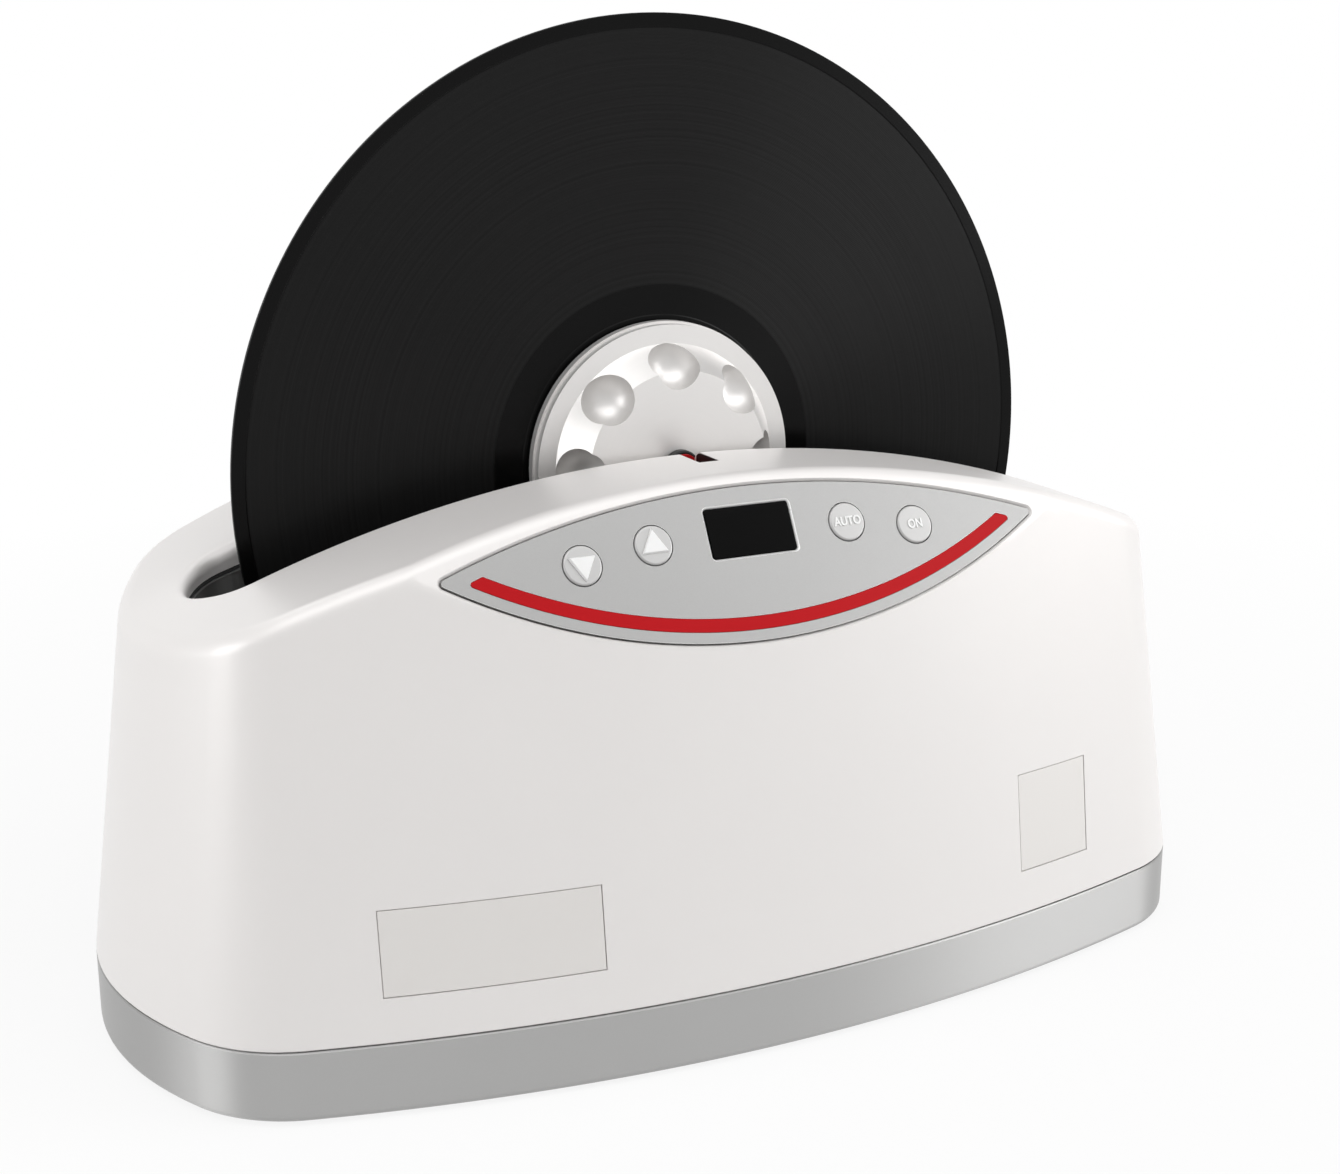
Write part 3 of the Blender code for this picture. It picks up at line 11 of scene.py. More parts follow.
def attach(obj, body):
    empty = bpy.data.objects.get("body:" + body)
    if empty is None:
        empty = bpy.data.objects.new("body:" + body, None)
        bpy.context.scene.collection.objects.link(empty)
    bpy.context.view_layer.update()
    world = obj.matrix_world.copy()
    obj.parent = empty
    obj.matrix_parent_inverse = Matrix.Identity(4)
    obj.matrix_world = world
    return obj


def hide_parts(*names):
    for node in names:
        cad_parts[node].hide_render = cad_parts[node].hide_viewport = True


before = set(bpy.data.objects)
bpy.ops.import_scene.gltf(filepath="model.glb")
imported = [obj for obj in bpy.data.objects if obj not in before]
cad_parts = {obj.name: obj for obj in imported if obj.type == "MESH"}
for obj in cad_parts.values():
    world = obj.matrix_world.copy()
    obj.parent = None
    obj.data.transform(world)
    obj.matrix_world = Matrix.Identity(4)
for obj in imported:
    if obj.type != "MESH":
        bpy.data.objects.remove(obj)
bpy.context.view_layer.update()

# Upper housing
# A thin-walled moulding with drafted, bowed sides and an arched rim, sprayed in pearl white lacquer. The slot's
# rounded lip and throat, the leaning facet of the control panel and the two notches for the axle are all part of it.
HALF_LENGTH = 0.1927
HALF_DEPTH = 0.1040
END_DEPTH = 0.0837
END_BOW = 0.0098
CORNER = 0.0467
SIDE_DRAFT = math.radians(7.5)
STATIONS = (257, 61, 25, 15)
SEAM_HEIGHT = 0.0255
SEAM_EDGE = 0.0004
RIM_TOP = 0.1865
RIM_RADIUS = 0.427
SHELL_WALL = 0.0026
RIM_FILLET = 0.0055
FACET_FILLET = 0.006
FACET_BLEND = 0.010
LEAN_BLEND = 0.002
CREASE_MARGIN = 0.002
CREASE_SOFTNESS = 0.0016
CREASE_SHARE = 0.9
UPPER_WALL_SHARES = (0.35, 0.7)
SLOT_HALF_LENGTH = 0.1680
SLOT_HALF_DEPTH = 0.0280
SLOT_END_DEPTH = 0.0252
SLOT_END_BOW = 0.0035
SLOT_CORNER = 0.0180
LIP_RADIUS = 0.0050
THROAT_DEPTH = 0.0065
THROAT_SAG = 0.0055
THROAT_WALL = 0.0024
PANEL_LEAN = math.radians(28.5)
PANEL_FOOT_DEPTH = 0.0877
PANEL_FOOT_HEIGHT = 0.140
PANEL_WALL = 0.0052
PANEL_THICKNESS = 0.0020
PANEL_SEAM = 0.0005
POCKET_EDGE = 0.0008
PANEL_LEDGE = 0.0026
GAP = 0.0003
OVERRUN = 0.004
MERGE = 0.00001
AXLE_HEIGHT = 0.180
NOTCH_HALF_WIDTH = 0.0038
NOTCH_ENDS = {"front": (-1, 0.0420), "back": (1, 0.0345)}
BOSS_HALF_WIDTH = 0.0066
BOSS_LOW = 0.0053
BOSS_END_WALL = 0.0025
ROLLER_HEIGHT = 0.1727
ROLLER_WINDOW_HALF_WIDTH = 0.0048
ROLLER_WINDOW_RISE = 0.0050
ROLLER_WINDOW_FRONT, ROLLER_WINDOW_BACK = -0.0403, -0.0307
PANEL_FRAME = Matrix.Translation((0, -PANEL_FOOT_DEPTH, PANEL_FOOT_HEIGHT)) @ Matrix.Rotation(
    math.pi / 2 - PANEL_LEAN, 4, "X"
)
FACING_FRONT = Matrix.Rotation(math.pi / 2, 4, "X")
FACING_BACK = Matrix.Rotation(-math.pi / 2, 4, "X")
AXLE_PLACE = Matrix.Translation((0, 0, AXLE_HEIGHT)) @ FACING_FRONT


def arch(x):
    """Height of the arched rim."""
    return RIM_TOP - RIM_RADIUS + np.sqrt(RIM_RADIUS**2 - np.asarray(x) ** 2)


class Plan:
    """A bowed rectangle with rounded corners: feet that the corner radius stands on, and outward normals."""

    def __init__(self, half_length, half_depth, end_depth, end_bow, corner):
        self.corner = corner
        front, back, end, turn_steps = STATIONS
        a, b, e = half_length - corner, half_depth - corner, end_depth - corner
        sides = []
        for turn, count in ((1, front), (-1, back)):
            t = np.linspace(-1, 1, count)
            foot = turn * np.stack([a * t, (b - e) * t**2 - b], 1)
            sides.append((foot, turn * np.stack([a + 0 * t, 2 * (b - e) * t], 1)))
            t = np.linspace(-1, 1, end)
            foot = turn * np.stack([a + end_bow * (1 - t**2), e * t], 1)
            sides.append((foot, turn * np.stack([-2 * end_bow * t, e + 0 * t], 1)))
        feet, normals = [], []
        for side, (foot, tangent) in enumerate(sides):
            normal = self.outward(tangent)
            following = self.outward(sides[(side + 1) % len(sides)][1][:1])[0]
            start = math.atan2(normal[-1][1], normal[-1][0])
            turn = (math.atan2(following[1], following[0]) - start) % (2 * math.pi)
            angles = start + turn * np.linspace(0, 1, turn_steps + 2)[1:-1]
            feet += [foot, np.repeat(foot[-1:], turn_steps, 0)]
            normals += [normal, np.stack([np.cos(angles), np.sin(angles)], 1)]
        self.feet, self.normals = np.concatenate(feet), np.concatenate(normals)

    @staticmethod
    def outward(tangent):
        return np.stack([tangent[:, 1], -tangent[:, 0]], 1) / np.linalg.norm(tangent, axis=1)[:, None]

    def at(self, inset):
        """The outline moved inwards, by one distance or by one for each station."""
        return self.feet + self.normals * np.reshape(self.corner - inset, (-1, 1))

    def level(self, inset, height):
        outline = self.at(inset)
        return np.column_stack([outline, np.broadcast_to(height, len(outline))])

    def below_arch(self, inset, drop):
        outline = self.at(inset)
        return np.column_stack([outline, arch(outline[:, 0]) - drop])

    def below_seam(self, inset, drop):
        """A ring below the throat's seam, which sags under the notches."""
        sag = THROAT_SAG * (1 - (self.at(inset)[:, 0] / SLOT_HALF_LENGTH) ** 2)
        return self.below_arch(inset, THROAT_DEPTH + sag + drop)


HOUSING = Plan(HALF_LENGTH, HALF_DEPTH, END_DEPTH, END_BOW, CORNER)
SLOT = Plan(SLOT_HALF_LENGTH, SLOT_HALF_DEPTH, SLOT_END_DEPTH, SLOT_END_BOW, SLOT_CORNER)


def draft_inset(height, shrink=0.0):
    """How far the leaning side wall stands in from the band."""
    return shrink + math.tan(SIDE_DRAFT) * (height - SEAM_HEIGHT)


def facet_inset(height, setback):
    """How far each front station stands in to reach the leaning facet; behind, never."""
    lean = HOUSING.normals[:, 1]
    facet = -PANEL_FOOT_DEPTH + setback + (height - PANEL_FOOT_HEIGHT) * math.tan(PANEL_LEAN)
    facing = lean < -math.cos(math.pi / 4)
    inset = HOUSING.corner - (facet - HOUSING.feet[:, 1]) / np.where(facing, lean, -1)
    return np.where(facing, inset, -HOUSING.corner)


def side_rings(shrink=0.0, setback=0.0, steps=9):
    """Rings up one face of the side: foot, softened crease below the facet, and the rounded rim."""
    inset = draft_inset(RIM_TOP) * np.ones(len(HOUSING.feet))
    for _ in range(6):  # the rim's height and its inset follow each other
        top = arch(HOUSING.at(inset)[:, 0]) - shrink
        plain, cut = draft_inset(top, shrink), facet_inset(top, setback)
        inset = np.maximum(plain, cut)
    facing = np.maximum(np.abs(HOUSING.normals[:, 1]), MERGE)
    share = np.clip((cut - plain) / FACET_BLEND, 0, 1)
    steep = np.clip((cut - plain) / LEAN_BLEND, 0, 1)
    draft = math.tan(SIDE_DRAFT)
    lean = draft + (math.tan(PANEL_LEAN) / facing - draft) * steep * steep * (3 - 2 * steep)
    radius = RIM_FILLET + (FACET_FILLET - RIM_FILLET) * share - shrink
    start = np.arctan(lean)
    reach = radius * np.tan((math.pi / 2 - start) / 2)
    rim = []
    for step in np.linspace(0, 1, steps + 1):
        angle = start + (math.pi / 2 - start) * step
        drop = shrink + radius - radius * np.sin(angle)
        rim.append(HOUSING.below_arch(inset + reach - radius * np.cos(angle), drop))
    gain = (facet_inset(RIM_TOP, setback) - facet_inset(SEAM_HEIGHT, setback)) / (RIM_TOP - SEAM_HEIGHT)
    reach_up = (shrink - facet_inset(SEAM_HEIGHT, setback)) / np.maximum(gain - draft, MERGE)
    meeting = np.where(gain > draft, SEAM_HEIGHT + reach_up, RIM_TOP)
    crease = np.minimum(meeting, rim[0][:, 2] - CREASE_MARGIN)
    low = SEAM_HEIGHT + SEAM_EDGE
    walls = [HOUSING.level(shrink + SEAM_EDGE, SEAM_HEIGHT)]
    for height in (*np.linspace(low, crease - CREASE_SOFTNESS, 9), crease):
        walls.append(HOUSING.level(draft_inset(height, shrink), height))
    near = (CREASE_SOFTNESS / (rim[0][:, 2] - crease))[:, None] * CREASE_SHARE
    bend = walls[-1]
    for share in (near, *(np.maximum(near, least) for least in UPPER_WALL_SHARES)):
        walls.append(bend + (rim[0] - bend) * share)
    return walls + rim


def lip_rings(steps=9):
    """Rings over the rounded lip of the slot and down the throat, then up behind it."""
    rings = []
    for angle in np.linspace(0, math.pi / 2, steps + 1):
        rings.append(SLOT.below_arch(LIP_RADIUS * math.sin(angle), LIP_RADIUS * (1 - math.cos(angle))))
    behind = LIP_RADIUS - THROAT_WALL
    return [*rings, SLOT.below_seam(LIP_RADIUS, 0), SLOT.below_seam(behind, 0), SLOT.below_arch(behind, SHELL_WALL)]


def new_piece(name, mesh, place=None):
    mesh.name = name
    piece = bpy.data.objects.new(name, mesh)
    bpy.context.scene.collection.objects.link(piece)
    if place is not None:
        piece.matrix_world = place
    return piece


def from_bmesh(bm):
    mesh = bpy.data.meshes.new("shape")
    bm.to_mesh(mesh)
    bm.free()
    return mesh


def bridge(bm, near, far):
    """Faces between two matching rows of points."""
    for i in range(len(near) - 1):
        bm.faces.new((near[i], near[i + 1], far[i + 1], far[i]))


def wrapped(rings, closed=True, caps=False):
    """A mesh from matching rings of points, closed on itself or capped."""
    bm = bmesh.new()
    rows = [[bm.verts.new(point) for point in ring] for ring in rings]
    following = rows[1:] + rows[:1] if closed else rows[1:]
    for low, high in zip(rows, following):
        bridge(bm, [*low, low[0]], [*high, high[0]])
    if caps:
        bm.faces.new(rows[0])
        bm.faces.new(rows[-1])
    bmesh.ops.recalc_face_normals(bm, faces=bm.faces)
    return from_bmesh(bm)


def block(low, high):
    """A box between two corners."""
    bm = bmesh.new()
    bmesh.ops.create_cube(bm, size=1.0)
    low, high = Vector(low), Vector(high)
    bmesh.ops.scale(bm, vec=high - low, verts=bm.verts)
    bmesh.ops.translate(bm, vec=(low + high) / 2, verts=bm.verts)
    return from_bmesh(bm)


def stacked(levels):
    """A solid through matching flat outlines, each given with its height."""
    return wrapped([[(x, y, height) for x, y in outline] for outline, height in levels], False, True)


def arc(centre, radius, start, end, steps):
    angles = np.linspace(start, end, steps + 1)
    return [(centre[0] + radius * math.cos(a), centre[1] + radius * math.sin(a)) for a in angles]


def settle(piece):
    """Works the modifiers into the mesh."""
    depsgraph = bpy.context.evaluated_depsgraph_get()
    mesh = bpy.data.meshes.new_from_object(piece.evaluated_get(depsgraph))
    piece.modifiers.clear()
    piece.data = mesh


def carve(piece, tools, operation="DIFFERENCE"):
    """Cuts the tools from a piece, or joins them to it, and clears them away."""
    for tool in tools:
        change = piece.modifiers.new(tool.name, "BOOLEAN")
        change.operation = operation
        change.object = tool
        change.solver = "EXACT"
    settle(piece)
    for tool in tools:
        bpy.data.objects.remove(tool)


def soften(piece, width, angle=50, segments=2):
    """Rounds the sharp edges a little, as moulding or tumbling leaves them."""
    bevel = piece.modifiers.new("softened_edges", "BEVEL")
    bevel.width = width
    bevel.segments = segments
    bevel.limit_method = "ANGLE"
    bevel.angle_limit = math.radians(angle)
    settle(piece)


def smooth(piece, angle=32):
    """Smooth shading that keeps the flat faces flat."""
    piece.data.shade_smooth()
    piece.data.set_sharp_from_angle(angle=math.radians(angle))
    shading = piece.modifiers.new("flat_faces", "WEIGHTED_NORMAL")
    shading.keep_sharp = True
    shading.weight = 90
    settle(piece)


def dress(piece, finish, nodes=(), body="machine"):
    """Gives a piece its finish and its place in the frame."""
    piece.data.materials.clear()
    piece.data.materials.append(finish)
    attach(piece, body)
    if nodes:
        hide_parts(*nodes)


def make(name, mesh, place, finish, nodes=(), body="machine", edge=0, angle=50):
    """A whole piece in one step: put in place, its edges softened, smoothed and dressed."""
    piece = new_piece(name, mesh, place)
    if edge:
        soften(piece, edge, angle)
    smooth(piece)
    dress(piece, finish, nodes, body)


LOWER_ARC_RADIUS, LOWER_ARC_CENTRE = 0.2040, 0.2014
UPPER_ARC_RADIUS, UPPER_ARC_CENTRE = 0.3090, 0.2605
TIP_RADIUS = 0.0012
TIP_LEAST_RADIUS = 0.0003


def meet(lower_radius, upper_radius):
    """Where a lower arc and an upper arc of the lens cross, on the right."""
    span = LOWER_ARC_CENTRE + UPPER_ARC_CENTRE
    along = (span**2 + upper_radius**2 - lower_radius**2) / (2 * span)
    return math.sqrt(upper_radius**2 - along**2), along - UPPER_ARC_CENTRE


def lens(inset, steps=64, tip_steps=7):
    """The panel's lens outline in the plane of the facet, moved inwards."""
    lower, upper = LOWER_ARC_RADIUS - inset, UPPER_ARC_RADIUS - inset
    tip = max(TIP_RADIUS - inset, TIP_LEAST_RADIUS)
    x, y = meet(lower - tip, upper - tip)
    low, high = math.atan2(y - LOWER_ARC_CENTRE, x), math.atan2(y + UPPER_ARC_CENTRE, x)
    points = arc((0, LOWER_ARC_CENTRE), lower, -math.pi - low, low, steps)
    points += arc((x, y), tip, low, high, tip_steps)[1:-1]
    points += arc((0, -UPPER_ARC_CENTRE), upper, high, math.pi - high, steps)
    points += arc((-x, y), tip, math.pi - high, math.pi - low, tip_steps)[1:-1]
    return points


PLATES = {
    "wide_plate": (-0.0995, 0.0700, 0.0397, 0.0278),
    "tall_plate": (0.1132, 0.0332, 0.0404, 0.0346),
}
PLATE_RECESS = 0.0009
FRONT_LINE = HOUSING.feet[: STATIONS[0]], HOUSING.normals[: STATIONS[0]]


def front_depth(x, z, inwards):
    """Depth Y of the drafted front at a place, moved into the housing."""
    feet, normals = FRONT_LINE
    line = feet + normals * (CORNER - draft_inset(z) - inwards)
    return float(np.interp(x, line[:, 0], line[:, 1]))


def plate_slab(sizes, shrink, outside, inside, columns=36, rows=10):
    """A bent slab that follows the drafted front between two depths."""
    centre, width, low, height = sizes
    xs = np.linspace(centre - width / 2 + shrink, centre + width / 2 - shrink, columns)
    zs = np.linspace(low + shrink, low + height - shrink, rows)
    bm = bmesh.new()
    sheets = []
    for inwards in (outside, inside):
        sheets.append([[bm.verts.new((x, front_depth(x, z, inwards), z)) for x in xs] for z in zs])
    for sheet in sheets:
        for low_row, high_row in zip(sheet, sheet[1:]):
            bridge(bm, low_row, high_row)
    for front, back in (sheets, [list(zip(*sheet)) for sheet in sheets]):
        bridge(bm, front[0], back[0])
        bridge(bm, front[-1], back[-1])
    bmesh.ops.recalc_face_normals(bm, faces=bm.faces)
    return from_bmesh(bm)


INLET_HEIGHT = 0.0520
INLET_HALF_WIDTH = 0.0110
INLET_HALF_HEIGHT = 0.0080
INLET_DEPTH = 0.0200
INLET_FRAME = Matrix.Translation((0, HALF_DEPTH - draft_inset(INLET_HEIGHT), INLET_HEIGHT)) @ Matrix.Rotation(
    -math.pi / 2 + SIDE_DRAFT, 4, "X"
)


def inlet_box(name, width, height, back, front):
    return new_piece(name, block((-width, -height, back), (width, height, front)), INLET_FRAME)


housing_rings = [*side_rings(), *lip_rings(), *side_rings(SHELL_WALL, PANEL_WALL, 2)[::-1]]
housing = new_piece("pearl_housing", wrapped(housing_rings))
throat = SLOT_HALF_DEPTH - LIP_RADIUS
bosses, cuts = [], []
for name, (side, end) in NOTCH_ENDS.items():
    near, far = side * (throat + THROAT_WALL / 2), side * (end + BOSS_END_WALL)
    corner = (-BOSS_HALF_WIDTH, min(near, far), AXLE_HEIGHT - BOSS_LOW)
    opposite = (BOSS_HALF_WIDTH, max(near, far), RIM_TOP - SHELL_WALL / 2)
    bosses.append(new_piece(f"{name}_boss", block(corner, opposite)))
    above = RIM_TOP - AXLE_HEIGHT + OVERRUN
    notch = arc((0, 0), NOTCH_HALF_WIDTH, -math.pi, 0, 25)
    notch += [(NOTCH_HALF_WIDTH, above), (-NOTCH_HALF_WIDTH, above)]
    levels = [(notch, depth) for depth in sorted((-side * end, -side * (throat - OVERRUN)))]
    cuts.append(new_piece(f"{name}_notch", stacked(levels), AXLE_PLACE))
carve(housing, bosses, "UNION")
low = (-ROLLER_WINDOW_HALF_WIDTH, ROLLER_WINDOW_FRONT, AXLE_HEIGHT - BOSS_LOW - OVERRUN)
high = (ROLLER_WINDOW_HALF_WIDTH, ROLLER_WINDOW_BACK, ROLLER_HEIGHT + ROLLER_WINDOW_RISE)
cuts.append(new_piece("roller_window", block(low, high)))
seat = -PANEL_THICKNESS - GAP
pocket = [
    (lens(-PANEL_SEAM), seat),
    (lens(-PANEL_SEAM), -POCKET_EDGE),
    (lens(-PANEL_SEAM - POCKET_EDGE), 0),
    (lens(-PANEL_SEAM - 2 * POCKET_EDGE), OVERRUN),
]
cuts.append(new_piece("panel_pocket", stacked(pocket), PANEL_FRAME))
opening = [(lens(PANEL_LEDGE), -PANEL_WALL - OVERRUN), (lens(PANEL_LEDGE), 0)]
cuts.append(new_piece("panel_opening", stacked(opening), PANEL_FRAME))
for name, sizes in PLATES.items():
    cuts.append(new_piece(f"{name}_pocket", plate_slab(sizes, 0, -OVERRUN, PLATE_RECESS)))
inlet_room = INLET_HALF_WIDTH + GAP, INLET_HALF_HEIGHT + GAP
cuts.append(inlet_box("inlet_hole", *inlet_room, -INLET_DEPTH - OVERRUN, OVERRUN))
carve(housing, cuts)
smooth(housing)


class Wiring:
    """The node tree of a material, group or world, with short ways to add nodes and feed their sockets."""

    def __init__(self, tree):
        self.nodes, self.links = tree.nodes, tree.links

    def add(self, kind):
        return self.nodes.new(f"ShaderNode{kind}")

    def set(self, socket, value):
        """Gives a socket a number, a colour or the output of another node."""
        if isinstance(value, (int, float)):
            socket.default_value = value
        elif isinstance(value, tuple):
            socket.default_value = (*value, 1)
        else:
            self.links.new(value, socket)

    def set_all(self, node, **values):
        for label, value in values.items():
            self.set(node.inputs[label.replace("_", " ").title().replace("Ior", "IOR")], value)

    def math(self, operation, *values):
        node = self.add("Math")
        node.operation = operation
        for socket, value in zip(node.inputs, values):
            self.set(socket, value)
        return node.outputs[0]

    def noise(self, vector, scale, detail, roughness):
        node = self.add("TexNoise")
        self.set_all(node, vector=vector, scale=scale, detail=detail, roughness=roughness)
        return node.outputs["Fac"]

    def range(self, value, low, high, to_low, to_high):
        node = self.add("MapRange")
        self.set_all(node, value=value, from_min=low, from_max=high, to_min=to_low, to_max=to_high)
        return node.outputs["Result"]

    def mix(self, share, first, second):
        """A colour between two colours by a mask."""
        node = self.add("Mix")
        node.data_type = "RGBA"
        for index, value in ((0, share), (6, first), (7, second)):
            self.set(node.inputs[index], value)
        return node.outputs[2]

    def point(self):
        """The place on the piece, in the piece's own frame."""
        return self.add("TexCoord").outputs["Object"]

    def from_axis(self):
        """Distance from the piece's own Z axis, and height along it."""
        split = self.add("SeparateXYZ")
        self.set(split.inputs[0], self.point())
        x, y, z = split.outputs
        return self.math("SQRT", self.math("ADD", *(self.math("MULTIPLY", side, side) for side in (x, y)))), z

    def joined(self, *parts):
        node = self.add("CombineXYZ")
        for socket, part in zip(node.inputs, parts):
            self.set(socket, part)
        return node.outputs[0]


class Finish(Wiring):
    """A material under way: its shader, with short ways to feed it."""

    def __init__(self, name, colour, roughness, **sockets):
        self.material = bpy.data.materials.new(name)
        self.material.use_nodes = True
        super().__init__(self.material.node_tree)
        self.shader = self.nodes["Principled BSDF"]
        self.set_all(self.shader, base_color=colour, roughness=roughness, **sockets)

    def place(self, group, **values):
        node = self.add("Group")
        node.node_tree = group
        self.set_all(node, **values)
        return node.outputs

    def feed(self, label, output):
        self.set(self.shader.inputs[label], output)

    def bump(self, height, distance):
        node = self.add("Bump")
        self.set_all(node, height=height, distance=distance)
        self.feed("Normal", node.outputs["Normal"])


def shader_group(name, inputs, outputs):
    """An empty shader node group with named number sockets; gives it, its wiring, its inlet and its outlet."""
    group = bpy.data.node_groups.new(name, "ShaderNodeTree")
    for label, value in inputs.items():
        group.interface.new_socket(label, in_out="INPUT", socket_type="NodeSocketFloat").default_value = value
    for label in outputs:
        group.interface.new_socket(label, in_out="OUTPUT", socket_type="NodeSocketFloat")
    return group, Wiring(group), group.nodes.new("NodeGroupInput").outputs, group.nodes.new("NodeGroupOutput")


def lacquer_group():
    """Sprayed or moulded skin: fine orange peel, slow mottling and small flakes."""
    group, wiring, given, out = shader_group("moulded_skin", {"Grain Scale": 900.0}, ("Height", "Mottle", "Flake"))
    place = wiring.point()
    flake = wiring.add("TexVoronoi")
    wiring.set_all(flake, scale=FLAKE_SCALE, vector=place)
    channels = wiring.add("SeparateColor")
    wiring.set_all(channels, color=flake.outputs["Color"])
    wiring.set_all(
        out,
        height=wiring.noise(place, given["Grain Scale"], 3.0, 0.45),
        mottle=wiring.noise(place, MOTTLE_SCALE, 3.0, 0.55),
        flake=channels.outputs["Red"],
    )
    return group


def grey(tone):
    return (tone, tone, tone)


MOTTLE_SCALE = 11.0
FLAKE_SCALE = 4200.0
MOULDED_SKIN = lacquer_group()


def skin_finish(name, colour, shade, roughness, grain=900.0, depth=0.000008, spread=0.03, **sockets):
    """Moulded or painted skin: mottled between two near colours, with orange peel and uneven gloss."""
    finish = Finish(name, colour, roughness, **sockets)
    skin = finish.place(MOULDED_SKIN, grain_scale=grain)
    mottle = finish.range(skin["Mottle"], 0.3, 0.7, 0.0, 1.0)
    finish.feed("Base Color", finish.mix(mottle, colour, shade))
    finish.feed("Roughness", finish.range(skin["Flake"], 0.0, 1.0, roughness - spread, roughness + spread))
    finish.bump(skin["Height"], depth)
    return finish.material


PEARL = skin_finish(
    "pearl_lacquer", (0.792, 0.770, 0.756), (0.780, 0.758, 0.745), 0.38,
    metallic=0.1, coat_weight=0.3, coat_roughness=0.32,
)
dress(housing, PEARL, ["upper_housing"])

# Bare plates
# Two thin plates moulded in cream plastic, glued into shallow pockets in the front. They carry no words or marks,
# and their tone is near the pearl lacquer's.
PLATE_DEPTH = 0.0005
PLATE_CREAM = skin_finish(
    "plate_cream", (0.752, 0.730, 0.708), (0.740, 0.719, 0.698), 0.40, grain=1500.0, metallic=0.1
)
for name, sizes in PLATES.items():
    plate = plate_slab(sizes, GAP, PLATE_RECESS - PLATE_DEPTH - GAP, PLATE_RECESS - GAP)
    make(f"{name}_moulding", plate, None, PLATE_CREAM, [name], edge=0.00015, angle=60)

# Base band
# A separate moulded band in silver paint under the housing. It has a rounded foot, a ledge for the bottom plate
# and a tongue that slips inside the housing, so a thin shadow line runs round the seam.
BAND_TOP = 0.0250
BAND_BOTTOM = 0.0012
BAND_EDGE = 0.0026
LEDGE_LOW = 0.0050
LEDGE_THICKNESS = 0.0020
LEDGE_REACH = 0.0150
LOWER_WALL = 0.0057
UPPER_WALL = 0.0050
TONGUE_SETBACK = 0.0034
TONGUE_RISE = 0.0030
SCREW_SHANK_RADIUS = 0.0014
SCREW_SETBACK = 0.0105


def turned(outer, steps, bore=None):
    """A turned piece about Z from its outer profile of (radius, height), top first, and a bore of one radius."""
    top, bottom = outer[0][1], outer[-1][1]
    profile = [(bore or 0, top), *outer, (bore or 0, bottom)]
    bm = bmesh.new()
    points = [bm.verts.new((radius, 0, height)) for radius, height in profile]
    for a, b in zip(points, points[1:]):
        bm.edges.new((a, b))
    if bore is not None:
        bm.edges.new((points[-1], points[0]))
    bmesh.ops.spin(
        bm, geom=list(bm.verts) + list(bm.edges), cent=(0, 0, 0), axis=(0, 0, 1),
        angle=2 * math.pi, steps=steps, use_merge=True,
    )
    bmesh.ops.remove_doubles(bm, verts=bm.verts, dist=MERGE)
    bmesh.ops.recalc_face_normals(bm, faces=bm.faces)
    return from_bmesh(bm)


def rod(radius, start, end, steps):
    return turned([(radius, end), (radius, start)], steps)


tongue_top = SEAM_HEIGHT + TONGUE_RISE
ledge_top = LEDGE_LOW + LEDGE_THICKNESS
band_shape = [
    (SEAM_EDGE, BAND_TOP),
    (TONGUE_SETBACK, BAND_TOP),
    (TONGUE_SETBACK, tongue_top),
    (UPPER_WALL, tongue_top),
    (UPPER_WALL, ledge_top),
    (LEDGE_REACH, ledge_top),
    (LEDGE_REACH, LEDGE_LOW),
    (LOWER_WALL, LEDGE_LOW),
    (LOWER_WALL, BAND_BOTTOM),
]
band_shape += arc((BAND_EDGE, BAND_BOTTOM + BAND_EDGE), BAND_EDGE, -math.pi / 2, -math.pi, 7)
for share in (0.25, 0.5, 0.75):
    band_shape.append((0, BAND_BOTTOM + BAND_EDGE + share * (BAND_TOP - SEAM_EDGE - BAND_BOTTOM - BAND_EDGE)))
band_shape.append((0, BAND_TOP - SEAM_EDGE))
band = new_piece("silver_band", wrapped([HOUSING.level(inset, height) for inset, height in band_shape]))
corner_reach = (CORNER - SCREW_SETBACK) * math.sqrt(0.5)
SCREW_PLACES = {
    f"{end}_{side}": (sx * (HALF_LENGTH - CORNER + corner_reach), sy * (END_DEPTH - CORNER + corner_reach))
    for end, sy in (("front", -1), ("back", 1))
    for side, sx in (("left", -1), ("right", 1))
}
holes = []
for name, (x, y) in SCREW_PLACES.items():
    hole = rod(SCREW_SHANK_RADIUS + GAP, LEDGE_LOW - OVERRUN, ledge_top + OVERRUN, 24)
    holes.append(new_piece(f"hole_{name}", hole, Matrix.Translation((x, y, 0))))
carve(band, holes)
smooth(band)
SILVER = skin_finish(
    "silver_paint", (0.430, 0.428, 0.424), (0.418, 0.416, 0.412), 0.50,
    grain=2200.0, depth=0.000004, spread=0.02, metallic=0.85, anisotropic=0.9, anisotropic_rotation=0.25,
)
dress(band, SILVER, ["base_band"])

# Bottom plate, screws and feet
# A dark powder-coated steel plate with vents closes the machine from below. Four countersunk screws hold it to
# the band's ledge, and four round rubber feet stand on the table.
SHEET = skin_finish(
    "dark_sheet", (0.060, 0.060, 0.062), (0.050, 0.050, 0.052), 0.55, grain=2600.0, depth=0.00004, metallic=0.3
)
RUBBER = skin_finish("black_rubber", grey(0.018), grey(0.024), 0.82, grain=3200.0, depth=0.00003, spread=0.06)


def machined_group():
    """Fine tool marks round the piece's own Z axis."""
    group, wiring, given, out = shader_group("tool_marks", {"Pitch": 9000.0}, ("Height", "Sheen"))
    marks = wiring.joined(*wiring.from_axis())
    wiring.set_all(
        out,
        height=wiring.noise(marks, given["Pitch"], 2.0, 0.6),
        sheen=wiring.noise(marks, SHEEN_SCALE, 2.0, 0.5),
    )
    return group


SHEEN_SCALE = 700.0
TOOL_MARKS = machined_group()


